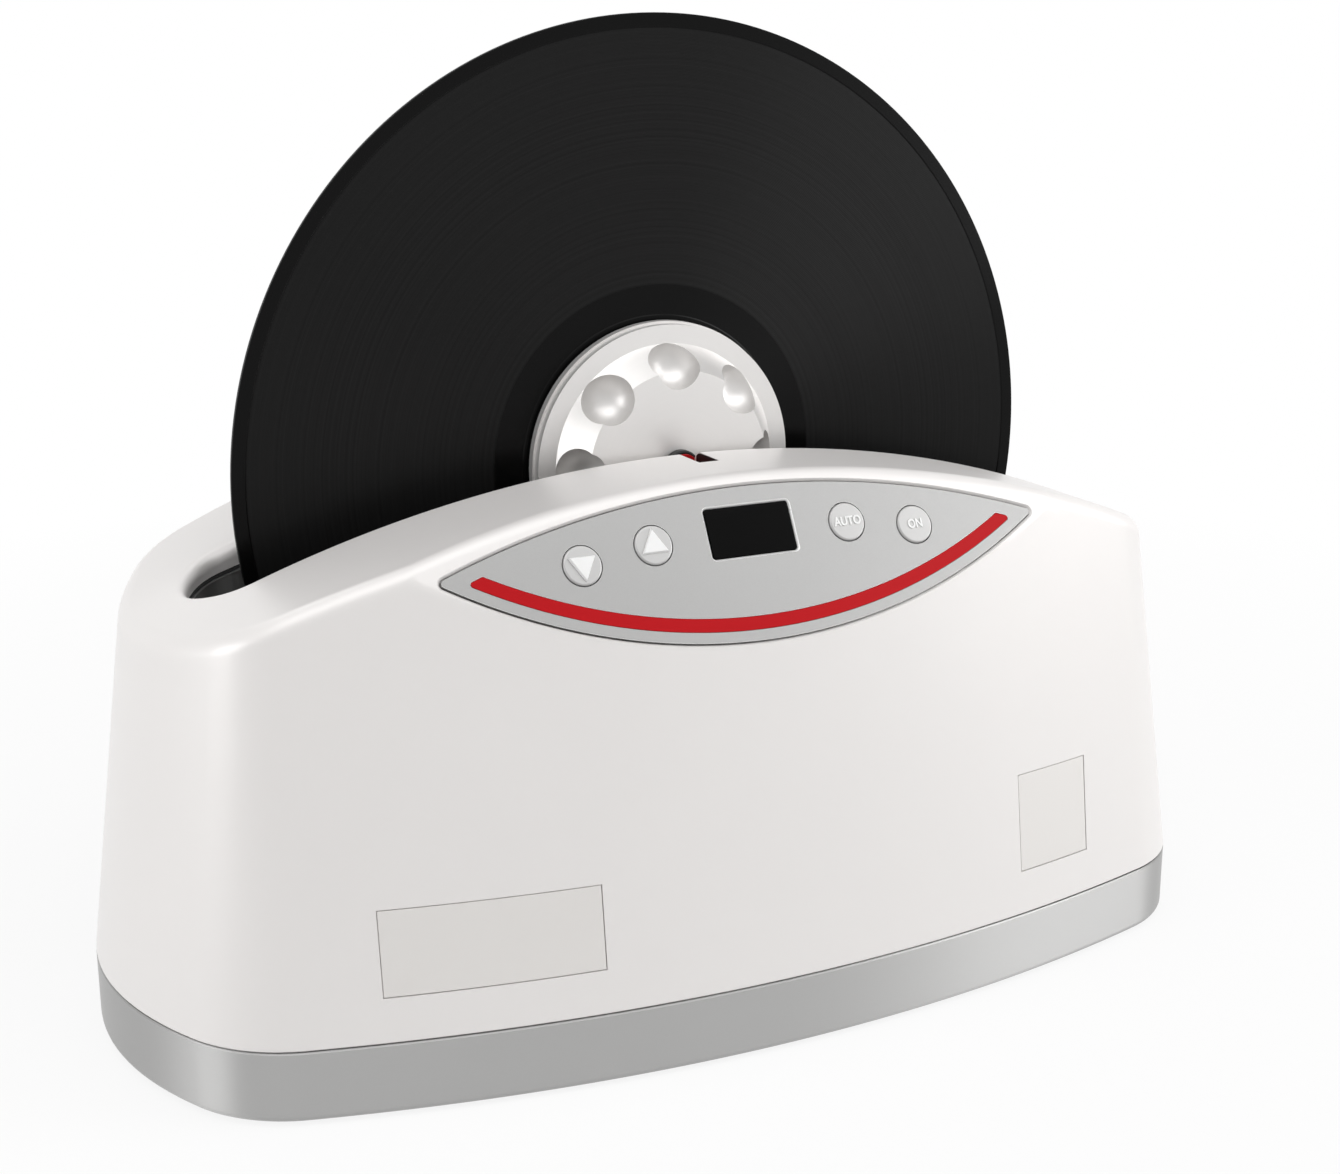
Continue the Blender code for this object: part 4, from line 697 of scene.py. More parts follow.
def machined_finish(name, colour, shade, roughness, spread=0.08, depth=0.000004, **sockets):
    """Turned or brushed metal with ring marks."""
    finish = Finish(name, colour, roughness, **sockets)
    marks = finish.place(TOOL_MARKS)
    finish.feed("Base Color", finish.mix(marks["Sheen"], colour, shade))
    finish.feed("Roughness", finish.range(marks["Sheen"], 0.3, 0.7, roughness - spread, roughness + spread))
    finish.bump(marks["Height"], depth)
    return finish.material


BARE_METAL = machined_finish("bare_metal", (0.56, 0.56, 0.57), (0.50, 0.50, 0.51), 0.32, metallic=1.0)


def refinish(node, finish):
    """Gives a carried-over node its finish."""
    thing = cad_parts[node]
    thing.data.materials.clear()
    thing.data.materials.append(finish)


refinish("bottom_plate", SHEET)
SHEET_THICKNESS = 0.0020
SHEET_LOW = LEDGE_LOW - GAP - SHEET_THICKNESS
HEAD_SETBACK, HEAD_RADIUS, HEAD_HEIGHT = 0.0005, 0.0030, 0.0014
HEAD_LOW = SHEET_LOW + HEAD_SETBACK
DRIVE_HALF_WIDTH, DRIVE_DEPTH = 0.0004, 0.0006
for name, (x, y) in SCREW_PLACES.items():
    place = Matrix.Translation((x, y, 0))
    shape = [
        (SCREW_SHANK_RADIUS, ledge_top),
        (SCREW_SHANK_RADIUS, HEAD_LOW + HEAD_HEIGHT),
        (HEAD_RADIUS, HEAD_LOW + GAP),
        (HEAD_RADIUS, HEAD_LOW),
    ]
    screw = new_piece(f"slotted_screw_{name}", turned(shape, 40), place)
    low = (-HEAD_RADIUS - GAP, -DRIVE_HALF_WIDTH, HEAD_LOW - OVERRUN)
    high = (HEAD_RADIUS + GAP, DRIVE_HALF_WIDTH, HEAD_LOW + DRIVE_DEPTH)
    carve(screw, [new_piece("screw_slot", block(low, high), place)])
    soften(screw, 0.00008, 40)
    smooth(screw)
    dress(screw, BARE_METAL, [f"screw_{name}"])
FOOT_RADIUS, FOOT_TAPER, FOOT_EDGE, FOOT_HEIGHT = 0.0090, 0.0012, 0.0004, SHEET_LOW - GAP
FOOT_PLACE = (0.1450, 0.0560)
for name, spot in SCREW_PLACES.items():
    low_edge = arc((FOOT_RADIUS - FOOT_TAPER - FOOT_EDGE, FOOT_EDGE), FOOT_EDGE, 0, -math.pi / 2, 4)
    shape = [(FOOT_RADIUS, FOOT_HEIGHT), (FOOT_RADIUS, FOOT_HEIGHT - FOOT_EDGE), *low_edge]
    x, y = (math.copysign(distance, side) for distance, side in zip(FOOT_PLACE, spot))
    place = Matrix.Translation((x, y, 0))
    make(f"rubber_foot_{name}", turned(shape, 56), place, RUBBER, [f"foot_{name}"])

# Bath and gasket
# A deep drawn steel trough hangs under the throat and holds the cleaning fluid. A rubber gasket seals its flange,
# which follows the arched rim.
TANK_WALL = 0.0012
TANK_FLOOR = 0.0210
TANK_BOTTOM_RADIUS = 0.0080
GASKET_THICKNESS = 0.0010
TANK_SETBACK = 0.0008
FLANGE_WIDTH = 0.0042
tank_inside = LIP_RADIUS + TANK_SETBACK
tank_outside = tank_inside - TANK_WALL
flange = tank_outside - FLANGE_WIDTH
flange_top = GASKET_THICKNESS + 2 * GAP


def tank_bottom(inset, radius, floor):
    """Rings of the trough's rounded bottom, from the floor outwards."""
    quarter = arc((inset + radius, floor + radius), radius, -math.pi / 2, -math.pi, 7)
    return [SLOT.level(setback, height) for setback, height in quarter]


tank_rings = tank_bottom(tank_outside, TANK_BOTTOM_RADIUS + TANK_WALL, TANK_FLOOR - TANK_WALL)
tank_rings += [
    SLOT.below_seam(tank_outside, flange_top + TANK_WALL),
    SLOT.below_seam(flange, flange_top + TANK_WALL),
    SLOT.below_seam(flange, flange_top),
    SLOT.below_seam(tank_inside + GAP, flange_top),
    SLOT.below_seam(tank_inside, flange_top + GAP),
]
tank_rings += tank_bottom(tank_inside, TANK_BOTTOM_RADIUS, TANK_FLOOR)[::-1]
SCRATCH_SCALE = (1400.0, 1400.0, 12.0)


def drawn_finish():
    """Satin steel drawn downwards: fine upright scratches."""
    finish = Finish("drawn_steel", (0.55, 0.55, 0.54), 0.38, metallic=0.85)
    stretch = finish.add("Mapping")
    stretch.inputs["Scale"].default_value = SCRATCH_SCALE
    finish.set_all(stretch, vector=finish.point())
    scratch = finish.noise(stretch.outputs["Vector"], 1.0, 3.0, 0.6)
    finish.feed("Roughness", finish.range(scratch, 0.3, 0.7, 0.30, 0.46))
    finish.feed("Base Color", finish.mix(scratch, (0.50, 0.50, 0.49), (0.60, 0.60, 0.59)))
    finish.bump(scratch, 0.000006)
    return finish.material


trough = wrapped(tank_rings, False, True)
make("steel_trough", trough, None, drawn_finish(), ["bath_tank"])
near, far = LIP_RADIUS, LIP_RADIUS - THROAT_WALL
section = ((near, 0), (near, GASKET_THICKNESS), (far, GASKET_THICKNESS), (far, 0))
seal = wrapped([SLOT.below_seam(inset, GAP + drop) for inset, drop in section])
make("trough_gasket", seal, None, RUBBER, ["tank_gasket"])

# Sound heads, power board and drive motor
# Inside, out of sight: four bolted sound heads on the trough's long walls, the generator's circuit board with its
# heat sink, the mains transformer, and the small gear motor on its bracket.
BOARD_GREEN = skin_finish(
    "circuit_board", (0.018, 0.150, 0.062), (0.012, 0.110, 0.045), 0.38, grain=700.0, depth=0.00003, coat_weight=0.3
)
COPPER = machined_finish(
    "copper_winding", (0.560, 0.230, 0.090), (0.400, 0.150, 0.060), 0.34, depth=0.00002, metallic=0.9
)
BLACK_PLASTIC = skin_finish(
    "black_plastic", grey(0.009), grey(0.012), 0.42, grain=2400.0, depth=0.00002, specular_ior_level=0.2
)
for name in SCREW_PLACES:
    refinish(f"transducer_{name}", BARE_METAL)
for node, finish in (
    ("generator_board", BOARD_GREEN),
    ("heat_sink", BARE_METAL),
    ("transformer", COPPER),
    ("drive_motor", BARE_METAL),
    ("motor_bracket", SHEET),
    ("display_module", BLACK_PLASTIC),
    ("panel_board", BOARD_GREEN),
):
    refinish(node, finish)

# Control panel
# A lens-shaped plate in fine silver-grey paint lies in the facet's pocket on a narrow ledge. Its recess for the red
# strip and its openings have softened edges; those that face downwards, and those round the display, carry a
# near-white painted highlight. Posts behind it carry the board.
STRIP_INSET = 0.0036
STRIP_WIDTH = 0.0044
STRIP_END_INSET = 0.0045
STRIP_RECESS = 0.0008
STRIP_CORNER = 0.0009
STRIP_FIT = 0.0001
DISPLAY_HALF_WIDTH = 0.0152
DISPLAY_HALF_HEIGHT = 0.0081
DISPLAY_HEIGHT = 0.0338
DISPLAY_CORNER = 0.0008
DISPLAY_EDGE = 0.0007
BOARD_SETBACK = 0.0065
POST_RADIUS = 0.0020
POST_PLACE = 0.0480
POST_HEIGHTS = (0.0100, 0.0380)
BUTTON_RADIUS = 0.0065
BUTTONS = {
    "down": (-0.0607, 0.0288),
    "up": (-0.0354, 0.0325),
    "auto": (0.0354, 0.0325),
    "on": (0.0607, 0.0288),
}


def strip_outline(grow, steps=64):
    """The strip between two lower arcs, cut off along the upper arc."""
    low = LOWER_ARC_RADIUS - STRIP_INSET + grow
    high = LOWER_ARC_RADIUS - STRIP_INSET - STRIP_WIDTH - grow
    upper = UPPER_ARC_RADIUS - STRIP_END_INSET + grow
    points = []
    for radius, turn in ((low, 1), (high, -1)):
        x, y = meet(radius, upper)
        end = math.atan2(y - LOWER_ARC_CENTRE, x)
        points += arc((0, LOWER_ARC_CENTRE), radius, -math.pi - end, end, steps)[::turn]
    return points


NEARLY_STRAIGHT = math.radians(150)


def rounded(points, radius, steps=5):
    """An outline with its sharp corners rounded."""
    result = []
    for index, point in enumerate(points):
        here = Vector(point)
        before = (Vector(points[index - 1]) - here).normalized()
        after = (Vector(points[(index + 1) % len(points)]) - here).normalized()
        angle = before.angle(after)
        if angle > NEARLY_STRAIGHT:
            result.append(point)
            continue
        centre = here + (before + after).normalized() * radius / math.sin(angle / 2)
        start, end = (here + side * radius / math.tan(angle / 2) - centre for side in (before, after))
        for share in np.linspace(0, 1, steps):
            result.append(tuple(centre + start.lerp(end, share).normalized() * radius))
    return result


def rounded_box(half_width, half_height, corner, centre, steps=6):
    points = []
    for turn, (sx, sy) in enumerate(((1, 1), (-1, 1), (-1, -1), (1, -1))):
        middle = (centre[0] + sx * (half_width - corner), centre[1] + sy * (half_height - corner))
        points += arc(middle, corner, turn * math.pi / 2, (turn + 1) * math.pi / 2, steps)
    return points


def circle(centre, radius, steps):
    return arc(centre, radius, 0, 2 * math.pi, steps)[:-1]


def display_outline(grow):
    """The display's rounded rectangle, larger on every side."""
    sizes = (size + grow for size in (DISPLAY_HALF_WIDTH, DISPLAY_HALF_HEIGHT, DISPLAY_CORNER))
    return rounded_box(*sizes, (0, DISPLAY_HEIGHT))


def on_panel(name, outline, front, back):
    """A flat solid in the panel's frame between two depths, counted outwards from the facet."""
    return new_piece(name, stacked([(outline, back), (outline, front)]), PANEL_FRAME)


panel = on_panel("lens_panel", lens(0), 0, -PANEL_THICKNESS)
through = -PANEL_THICKNESS - OVERRUN
recess = rounded(strip_outline(STRIP_FIT), STRIP_CORNER + STRIP_FIT)
tools = [on_panel("strip_recess", recess, OVERRUN, -STRIP_RECESS)]
levels = []
for grow, height in ((0, through), (0, -DISPLAY_EDGE), (DISPLAY_EDGE, 0), (2 * DISPLAY_EDGE, DISPLAY_EDGE)):
    levels.append((display_outline(GAP + grow), height))
tools.append(new_piece("display_opening", stacked(levels), PANEL_FRAME))
for name, centre in BUTTONS.items():
    tools.append(on_panel(f"{name}_hole", circle(centre, BUTTON_RADIUS + GAP, 72), OVERRUN, through))
carve(panel, tools)
soften(panel, 0.00036, 40)
posts = []
for x in (-POST_PLACE, POST_PLACE):
    for y in POST_HEIGHTS:
        post = circle((x, y), POST_RADIUS, 24)
        posts.append(on_panel(f"post_{x}_{y}", post, -PANEL_THICKNESS / 2, -PANEL_THICKNESS - BOARD_SETBACK))
carve(panel, posts, "UNION")
smooth(panel)
PANEL_GREY = skin_finish(
    "panel_grey", (0.330, 0.328, 0.325), (0.320, 0.318, 0.315), 0.42,
    grain=5200.0, depth=0.00001, spread=0.10, metallic=0.5,
)
dress(panel, PANEL_GREY, ["control_panel"])
# Painted highlight: a near-white finish for chosen bevelled edges of the panel, standing in for the light they
# catch.
PAINTED_EDGE_HIGHLIGHT = machined_finish("painted_edge_highlight", (0.92, 0.92, 0.91), (0.88, 0.88, 0.87), 0.34, metallic=0.3)
BEVEL_TILT = (0.12, 0.97)


def paint_edge_highlights(piece, chosen):
    """Paints a near-white highlight on the narrow bevelled edges that the chooser picks."""
    piece.data.materials.append(PAINTED_EDGE_HIGHLIGHT)
    for face in piece.data.polygons:
        if BEVEL_TILT[0] < face.normal.z < BEVEL_TILT[1] and face.center.z > -STRIP_RECESS and chosen(face):
            face.material_index = 1


def framed(face):
    """Edges that look downwards, and those round the display, which get the painted highlight."""
    x, y = face.center.x, face.center.y - DISPLAY_HEIGHT
    reach = GAP + 2 * DISPLAY_EDGE
    near_display = abs(x) < DISPLAY_HALF_WIDTH + reach and abs(y) < DISPLAY_HALF_HEIGHT + reach
    return face.normal.y < -0.1 or near_display


paint_edge_highlights(panel, framed)

# Red strip
# A strip of through-dyed red plastic pressed into the panel's curved recess, with a narrow rounded edge that
# catches the light.
STRIP_PROUD = 0.0001
strip = on_panel("curved_strip", rounded(strip_outline(0), STRIP_CORNER), STRIP_PROUD, -STRIP_RECESS + GAP)
soften(strip, 0.00020)
smooth(strip)
SIGNAL_RED = skin_finish(
    "signal_red", (0.480, 0.006, 0.010), (0.462, 0.006, 0.010), 0.40,
    grain=2600.0, depth=0.00001, specular_ior_level=0.09,
)
dress(strip, SIGNAL_RED, ["red_strip"])

# Display window
# A window of dark smoked plastic, unlit, with softened edges. It sits almost flush in its opening, in front of the
# display behind the panel.
display = on_panel("smoked_window", display_outline(0), -GAP / 3, -PANEL_THICKNESS)
soften(display, 0.00018)
smooth(display)
SMOKED = skin_finish(
    "smoked_window", grey(0.003), grey(0.004), 0.20, grain=600.0, depth=0.000003, specular_ior_level=0.035
)
dress(display, SMOKED, ["display_window"])

# Push buttons
# Four round moulded caps on stems above the board's switches. Two carry a raised triangle, down and up, and two
# carry raised letters. A flange behind the panel keeps each one in.
BUTTON_PROUD = 0.0006
BUTTON_ROLL = 0.0007
FLANGE_RADIUS = 0.0078
FLANGE_THICKNESS = 0.0010
STEM_RADIUS = 0.0018
SWITCH_TOP = 0.0028
MARK_RISE = 0.0005
MARK_BOLDNESS = 0.00007
flange_front = -PANEL_THICKNESS - GAP
flange_back = flange_front - FLANGE_THICKNESS
CAP_GREY = skin_finish(
    "cap_grey", (0.450, 0.447, 0.443), (0.441, 0.438, 0.434), 0.40, grain=3000.0, depth=0.00001, metallic=0.35
)
MARK_WHITE = skin_finish(
    "mark_white", (0.860, 0.860, 0.855), (0.845, 0.845, 0.840), 0.34, grain=3000.0, depth=0.00001
)
cap_shape = arc((BUTTON_RADIUS - BUTTON_ROLL, BUTTON_PROUD - BUTTON_ROLL), BUTTON_ROLL, math.pi / 2, 0, 6)
cap_shape += [
    (BUTTON_RADIUS, flange_front),
    (FLANGE_RADIUS, flange_front),
    (FLANGE_RADIUS, flange_back),
    (STEM_RADIUS, flange_back),
    (STEM_RADIUS, SWITCH_TOP - PANEL_THICKNESS - BOARD_SETBACK),
]
for name, (x, y) in BUTTONS.items():
    place, body = PANEL_FRAME @ Matrix.Translation((x, y, 0)), f"{name}_button"
    make(f"cap_{name}", turned(cap_shape, 72), place, CAP_GREY, [f"button_{name}"], body)
TRIANGLE_REACH = 0.0056
TRIANGLE_RISE = 0.0009
TRIANGLE_TOP_SHARE = 0.86
for name, turn in (("down", -1), ("up", 1)):
    x, y = BUTTONS[name]
    angles = [turn * math.pi / 2 + k * 2 * math.pi / 3 for k in range(3)]
    corners = [(TRIANGLE_REACH * math.cos(a), TRIANGLE_REACH * math.sin(a)) for a in angles]
    top = [(TRIANGLE_TOP_SHARE * corner_x, TRIANGLE_TOP_SHARE * corner_y) for corner_x, corner_y in corners]
    levels = [(corners, BUTTON_PROUD), (top, BUTTON_PROUD + TRIANGLE_RISE)]
    place, body = PANEL_FRAME @ Matrix.Translation((x, y, 0)), f"{name}_button"
    make(f"triangle_{name}", stacked(levels), place, MARK_WHITE, (), body, 0.00015, 40)
for name, word, size, narrow in (("auto", "AUTO", 0.0041, 0.88), ("on", "ON", 0.0043, 0.82)):
    x, y = BUTTONS[name]
    letters = bpy.data.curves.new("letters", "FONT")
    letters.body = word
    letters.size = size
    letters.align_x = letters.align_y = "CENTER"
    letters.offset = MARK_BOLDNESS
    letters.extrude = MARK_RISE / 4
    letters.bevel_depth = MARK_RISE / 8
    letters.resolution_u = 4
    guide = new_piece(f"letters_{name}_guide", letters)
    mesh = bpy.data.meshes.new_from_object(guide.evaluated_get(bpy.context.evaluated_depsgraph_get()))
    bpy.data.objects.remove(guide)
    mesh.transform(Matrix.Diagonal((narrow, 1, 1, 1)))
    place = PANEL_FRAME @ Matrix.Translation((x, y, BUTTON_PROUD + MARK_RISE / 4))
    make(f"letters_{name}", mesh, place, MARK_WHITE, body=f"{name}_button")

# Record
# A pressed twelve-inch disc: rim band, fine groove rings with wider bands between the tracks, and a smooth
# run-out zone round the label. It stands upright on the axle, clamped at the label.
RECORD_RADIUS = 0.15075
RIM_WIDTH = 0.0048
GROOVE_START = 0.0610
LABEL_RADIUS = 0.0500
HALF_THICKNESS = 0.0009
GROOVE_HALF = 0.0007
RECORD_EDGE = 0.0004
HOLE_RADIUS = 0.0036
INNER_FACE_RADIUS = 0.0200
GROOVE_STEPS = (0.080, 0.100, 0.120)
inner_rim = RECORD_RADIUS - RIM_WIDTH
edge_centre = (RECORD_RADIUS - RECORD_EDGE, HALF_THICKNESS - RECORD_EDGE)
grooves = (LABEL_RADIUS + RECORD_EDGE, GROOVE_START, *GROOVE_STEPS, inner_rim)
face = [(INNER_FACE_RADIUS, HALF_THICKNESS), (LABEL_RADIUS, HALF_THICKNESS)]
face += [(radius, GROOVE_HALF) for radius in grooves]
face += [(inner_rim + RECORD_EDGE, HALF_THICKNESS), *arc(edge_centre, RECORD_EDGE, math.pi / 2, 0, 4)]
faces = face + [(radius, -height) for radius, height in face[::-1]]
disc = new_piece("pressed_record", turned(faces, 240, HOLE_RADIUS), AXLE_PLACE)
smooth(disc, 20)
BAND_SCALE, TRACK_SCALE, GROOVE_PITCH = 900.0, 70.0, 14000.0


def vinyl_finish():
    """Black vinyl: groove rings on the playing area, smooth run-out zone and rim."""
    gloss = {"specular_ior_level": 0.10, "anisotropic": 0.85, "anisotropic_rotation": 0.25}
    finish = Finish("record_vinyl", grey(0.008), 0.42, **gloss)
    radius, _ = finish.from_axis()
    ring = finish.joined(radius)
    bands = finish.noise(ring, BAND_SCALE, 3.0, 0.65)
    groove = finish.math("SINE", finish.math("MULTIPLY", radius, GROOVE_PITCH))
    start = finish.range(radius, GROOVE_START - 0.0006, GROOVE_START + 0.0002, 0.0, 1.0)
    end = finish.range(radius, inner_rim - 0.0004, inner_rim, 1.0, 0.0)
    playing = finish.math("MULTIPLY", start, end)
    relief = finish.math("ADD", groove, finish.math("MULTIPLY", bands, 2.0))
    finish.bump(finish.math("MULTIPLY", relief, playing), 0.000012)
    rough = finish.range(finish.noise(ring, TRACK_SCALE, 2.0, 0.6), 0.3, 0.7, 0.38, 0.46)
    finish.feed("Roughness", finish.math("MULTIPLY", rough, finish.range(playing, 0.0, 1.0, 0.60, 1.0)))
    shade = finish.mix(finish.range(bands, 0.35, 0.65, 0.0, 1.0), grey(0.006), grey(0.010))
    finish.feed("Base Color", finish.mix(playing, grey(0.002), shade))
    return finish.material


dress(disc, vinyl_finish(), ["record"], "clamped_record")

# Label clamp and its seals
# Two discs in satin silver lacquer close on the label with a rubber seal each. The front one has a raised knob
# with eight scoops for the fingers; the back one is flatter, with the boss that takes the axle's thread.
CLAMP_RADIUS = 0.0486
CLAMP_FACE = 0.0086
CLAMP_RING = 0.0072
CLAMP_KNOBS = {"front": 0.0110, "back": 0.0030}
KNOB_SLOPE = 0.0078
CLAMP_STEP = 0.0008
STEP_SHARE = 0.45
CLAMP_START = 0.0023
SEAL_LOW, SEAL_HIGH, SEAL_WIDTH = 0.0012, 0.0020, 0.0040
BOSS_RADIUS = 0.0090
BOSS_END = 0.0160
AXLE_CORE = 0.0033
SCOOP_COUNT = 8
SCOOP_ORBIT = 0.0353
SCOOP_RADIUS = 0.0092
SCOOP_HEIGHT = 0.0068
CLAMP_SILVER = machined_finish(
    "clamp_satin", (0.690, 0.676, 0.665), (0.679, 0.666, 0.655), 0.42,
    spread=0.02, depth=0.0000006, metallic=0.62,
)
ring_edge = CLAMP_RADIUS - CLAMP_RING
step = CLAMP_START + (CLAMP_FACE - CLAMP_START) * STEP_SHARE
seal_radius = CLAMP_RADIUS - GAP
for name, knob in CLAMP_KNOBS.items():
    shape = [
        (ring_edge - KNOB_SLOPE, CLAMP_FACE + knob),
        (ring_edge, CLAMP_FACE),
        (CLAMP_RADIUS - CLAMP_STEP, CLAMP_FACE),
        (CLAMP_RADIUS - CLAMP_STEP, step),
        (CLAMP_RADIUS, step),
        (CLAMP_RADIUS, CLAMP_START),
    ]
    if name == "back":
        shape = [(BOSS_RADIUS, BOSS_END), (BOSS_RADIUS, CLAMP_FACE + knob), *shape]
    place = Matrix.Translation((0, 0, AXLE_HEIGHT)) @ (FACING_FRONT if name == "front" else FACING_BACK)
    clamp = new_piece(f"clamp_disc_{name}", turned(shape, 160, AXLE_CORE + GAP), place)
    if name == "front":
        scoops = []
        for index in range(SCOOP_COUNT):
            angle = 2 * math.pi * index / SCOOP_COUNT
            bm = bmesh.new()
            bmesh.ops.create_uvsphere(bm, u_segments=64, v_segments=40, radius=SCOOP_RADIUS)
            spot = (SCOOP_ORBIT * math.cos(angle), SCOOP_ORBIT * math.sin(angle), CLAMP_FACE + SCOOP_HEIGHT)
            scoops.append(new_piece(f"scoop_{index}", from_bmesh(bm), place @ Matrix.Translation(spot)))
        carve(clamp, scoops)
    soften(clamp, 0.00035, 28, 3)
    smooth(clamp)
    dress(clamp, CLAMP_SILVER, [f"clamp_{name}"], "clamped_record")
    ring = [(seal_radius, SEAL_HIGH), (seal_radius, SEAL_LOW)]
    seal, nodes = turned(ring, 120, seal_radius - SEAL_WIDTH), [f"label_seal_{name}"]
    make(f"label_ring_{name}", seal, place, RUBBER, nodes, "clamped_record")

# Axle and bushes
# The axle is black plastic with a round hub against the clamp. It turns in two red plastic bushes, each with a
# collar, that lie in the notches and stand still. A thin black lining sits in each notch and darkens its inside.
AXLE_RADIUS = 0.0025
AXLE_CHAMFER = 0.0004
AXLE_FRONT, AXLE_BACK = 0.0405, -0.0330
HUB_RADIUS = 0.0065
HUB_END = 0.0226
HUB_CHAMFER = 0.0005
hub_start = CLAMP_FACE + CLAMP_KNOBS["front"] + GAP
shape = [
    (AXLE_RADIUS - AXLE_CHAMFER, AXLE_FRONT),
    (AXLE_RADIUS, AXLE_FRONT - AXLE_CHAMFER),
    (AXLE_RADIUS, HUB_END),
    (HUB_RADIUS - HUB_CHAMFER, HUB_END),
    (HUB_RADIUS, HUB_END - HUB_CHAMFER),
    (HUB_RADIUS, hub_start),
    (AXLE_CORE, hub_start),
    (AXLE_CORE, -BOSS_END - GAP),
    (AXLE_RADIUS, -BOSS_END - GAP),
    (AXLE_RADIUS, AXLE_BACK + AXLE_CHAMFER),
    (AXLE_RADIUS - AXLE_CHAMFER, AXLE_BACK),
]
make("black_axle", turned(shape, 64), AXLE_PLACE, BLACK_PLASTIC, ["axle"], "clamped_record")
BUSH_RADIUS = 0.0035
BUSH_BORE = 0.00275
BUSH_END = 0.0295
COLLAR_RADIUS = 0.0054
COLLAR_START, COLLAR_END = 0.0229, 0.0237
for name, side in (("front", 1), ("back", -1)):
    shape = [(BUSH_RADIUS, BUSH_END), (BUSH_RADIUS, COLLAR_END)]
    shape += [(COLLAR_RADIUS, COLLAR_END), (COLLAR_RADIUS, COLLAR_START)]
    bush = turned([(radius, side * depth) for radius, depth in shape][::side], 64, BUSH_BORE)
    make(f"red_bush_{name}", bush, AXLE_PLACE, SIGNAL_RED, [f"bush_{name}"], "axle_bushes", 0.00012)
LINING_WALL = 0.0002
LINING_STARTS = (0.0252, 0.0260, 0.0270, 0.0284)
for name, (side, end) in NOTCH_ENDS.items():
    outer, inner = NOTCH_HALF_WIDTH - MERGE, NOTCH_HALF_WIDTH - MERGE - LINING_WALL
    levels = []
    for depth in (*LINING_STARTS, end - MERGE):
        lip = max(LINING_STARTS[-1] + LINING_WALL - depth, 0)
        top = RIM_TOP - AXLE_HEIGHT - LINING_WALL - LIP_RADIUS + math.sqrt(LIP_RADIUS**2 - lip**2)
        outline = arc((0, 0), outer, -math.pi, 0, 24) + [(outer, top), (inner, top)]
        outline += arc((0, 0), inner, 0, -math.pi, 24) + [(-inner, top), (-outer, top)]
        levels.append((outline, -side * depth))
    make(f"notch_lining_{name}", stacked(levels), AXLE_PLACE, BLACK_PLASTIC)

# Drive roller
# A roller under the front notch turns the axle by friction. A rubber tyre is pressed on its turned steel hub, which
# runs on into the motor.
ROLLER_START, ROLLER_END, ROLLER_SHAFT_END = 0.0315, 0.0395, 0.0509
ROLLER_SHAFT_RADIUS, ROLLER_HUB_RADIUS, TYRE_BORE, TYRE_RADIUS = 0.0015, 0.0029, 0.0032, 0.0045
ROLLER_PLACE = Matrix.Translation((0, 0, ROLLER_HEIGHT)) @ FACING_FRONT
shape = [(ROLLER_SHAFT_RADIUS, ROLLER_SHAFT_END), (ROLLER_SHAFT_RADIUS, ROLLER_END)]
shape += [(ROLLER_HUB_RADIUS, ROLLER_END), (ROLLER_HUB_RADIUS, ROLLER_START)]
hub, tyre = turned(shape, 64), turned([(TYRE_RADIUS, ROLLER_END), (TYRE_RADIUS, ROLLER_START)], 72, TYRE_BORE)
make("steel_roller_hub", hub, ROLLER_PLACE, BARE_METAL, ["roller_hub"], "drive_roller")
make("rubber_tyre", tyre, ROLLER_PLACE, RUBBER, ["roller_tyre"], "drive_roller", 0.0002)

# Power inlet
# A flanged socket moulded in black plastic for the mains lead, pushed into the back wall from outside. Two round
# pins stand in it.
INLET_FLANGE, INLET_FRONT, INLET_WALL = 0.0025, GAP + 0.0015, 0.0025
SOCKET_DEPTH = 0.0140
PIN_RADIUS, PIN_PLACE, PIN_BACK, PIN_FRONT = 0.0012, 0.0042, -0.0165, -0.0040
inlet = inlet_box("mains_inlet", INLET_HALF_WIDTH, INLET_HALF_HEIGHT, -INLET_DEPTH, INLET_FRONT)
outer = INLET_HALF_WIDTH + INLET_FLANGE, INLET_HALF_HEIGHT + INLET_FLANGE
inner = INLET_HALF_WIDTH - INLET_WALL, INLET_HALF_HEIGHT - INLET_WALL
carve(inlet, [inlet_box("inlet_flange", *outer, GAP, INLET_FRONT)], "UNION")
carve(inlet, [inlet_box("inlet_socket", *inner, -SOCKET_DEPTH, OVERRUN)])
pins = []
for side in (-1, 1):
    pin = rod(PIN_RADIUS, PIN_BACK, PIN_FRONT, 32)
    pins.append(new_piece(f"inlet_pin_{side}", pin, INLET_FRAME @ Matrix.Translation((side * PIN_PLACE, 0, 0))))
carve(inlet, pins, "UNION")
soften(inlet, 0.0003)
smooth(inlet)
dress(inlet, BLACK_PLASTIC, ["power_inlet"])

# Studio
# A white floor under soft lamps on the left, overhead, at the upper left, on the right and behind. The left one
# draws the bright line down the housing's corner.
FLOOR_NEAR, FLOOR_FAR, FLOOR_NEAR_GLOW = 0.22, 0.75, 0.86


def seen_by(wiring, *kinds):
    """Whether a ray is of one of the kinds that show the background."""
    paths = wiring.add("LightPath").outputs
    share = paths[f"Is {kinds[0]} Ray"]
    for kind in kinds[1:]:
        share = wiring.math("MAXIMUM", share, paths[f"Is {kind} Ray"])
    return share


